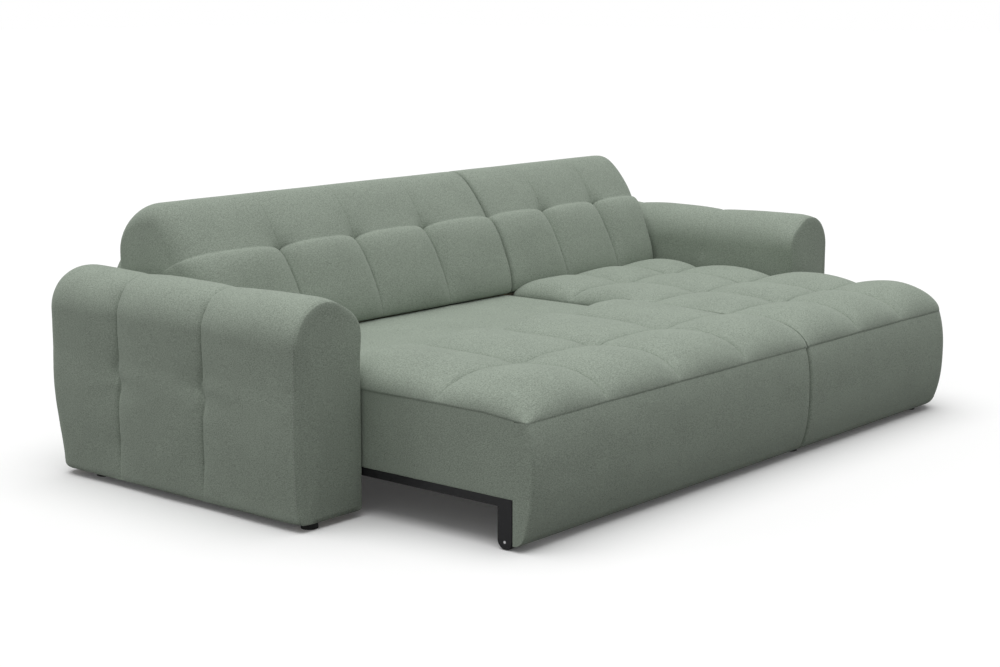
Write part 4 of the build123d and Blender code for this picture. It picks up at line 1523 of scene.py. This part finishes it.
@dataclass
class Studio:
    """Pale floor, soft light from above and the photograph's camera."""

    eye: Triple = (-4.9255, -3.9275, 1.4952)
    turn: Triple = (math.pi / 2.0 - 0.18045, 0.0, -0.87201)
    lens: float = 67.34
    sky: float = 0.42
    lamps: tuple[tuple[str, Triple, float, float], ...] = (
        ("overhead", (-0.06, 0.0, 1.0), 1.95, 70.0), ("side", (-0.70, 0.68, 0.22), 0.24, 30.0))

    @staticmethod
    def shown(shader: Shader, lit: bpy.types.Node, seen: bpy.types.Node) -> bpy.types.NodeSocket:
        """Parts the rays that show the surroundings, also in gloss and glass, from those that light.

        Args:
            shader: Tree that gets the nodes.
            lit: Shader for the rays that light the sofa.
            seen: Shader for the rays that show the surroundings.

        Returns:
            The mixed shader's socket.
        """
        path = shader.node("ShaderNodeLightPath")
        kinds = ("Camera", "Glossy", "Transmission")
        rays = [Value(shader, path.outputs[f"Is {kind} Ray"]) for kind in kinds]
        inputs = {0: rays[0].most(rays[1]).most(rays[2]), 1: lit.outputs[0], 2: seen.outputs[0]}
        return shader.node("ShaderNodeMixShader", None, inputs).outputs[0]

    def floor(self) -> None:
        """Lays the pale floor, which throws less light back than it shows."""
        shader = Shader("pale_floor")
        dust = shader.noise(3.0, 2.0)
        shader.set(Base_Color=shader.mix(dust, (0.95, 0.95, 0.95), (0.96, 0.96, 0.96)), Roughness=0.9)
        shader.set(Specular_IOR_Level=0.0, Emission_Color=(1.0, 1.0, 1.0, 1.0), Emission_Strength=0.04)
        dull = shader.node("ShaderNodeBsdfDiffuse", None, {"Color": (0.16, 0.16, 0.157, 1.0)})
        shader.feed(shader.output.inputs["Surface"], self.shown(shader, dull, shader.principled))
        bm = bmesh.new()
        bmesh.ops.create_grid(bm, x_segments=1, y_segments=1, size=60.0)
        mesh = bpy.data.meshes.new("floor")
        bm.to_mesh(mesh)
        bm.free()
        mesh.materials.append(shader.material)
        linked("floor", mesh)

    def light(self) -> None:
        """Sets the soft sky, the broad light overhead and a faint one at the side."""
        world = bpy.data.worlds.new("studio")
        bpy.context.scene.world = world
        world.use_nodes = True
        sky = Shader.over(world.node_tree)
        plain = {"Color": (1.0, 1.0, 1.0, 1.0)}
        lit, white = [sky.node("ShaderNodeBackground", None, plain | {"Strength": strength})
                      for strength in (self.sky, 1.0)]
        sky.node("ShaderNodeOutputWorld", None, {"Surface": self.shown(sky, lit, white)})
        for name, source, energy, spread in self.lamps:
            lamp = bpy.data.lights.new(name, "SUN")
            lamp.energy = energy
            lamp.angle = math.radians(spread)
            linked(name, lamp).rotation_euler = Vector(source).to_track_quat("Z", "Y").to_euler()

    def camera(self) -> None:
        """Places the camera."""
        data = bpy.data.cameras.new("camera")
        data.sensor_width = 36.0
        data.sensor_fit = "HORIZONTAL"
        data.lens = self.lens
        data.clip_end = 200.0
        obj = linked("camera", data)
        obj.location = self.eye
        obj.rotation_euler = Euler(self.turn)
        bpy.context.scene.camera = obj

    def build(self) -> None:
        """Builds the studio."""
        self.floor()
        self.light()
        self.camera()
        bpy.context.scene.view_settings.view_transform = "Standard"


def main() -> None:
    """Builds the sofa's soft pieces, dresses the frame and sets up the studio."""
    logging.basicConfig(level=logging.INFO, format="%(message)s")
    finishes = Finishes()
    finishes.dress_frame()
    for side in Side:
        Arm(side).build(finishes)
    gaps = (0.004, 0.003)
    left = (-PLAN.inner + gaps[0], -0.757, -0.410, -0.066, PLAN.pull_right)
    right = (PLAN.chaise_left, 0.605, 0.925, PLAN.inner - gaps[1])
    backs = (Back("back_left_cover", left, "back_left_cushion", (0.070, 0.016), seed=70.0),
             Back("back_right_cover", right, "back_right_cushion", (0.016, 0.040), over=0.034, seed=80.0))
    for back in backs:
        back.build(finishes)
    PullOutSeat().build(finishes)
    Chaise().build(finishes)
    RearWall().build(finishes)
    Studio().build()


if __name__ == "__main__":
    main()
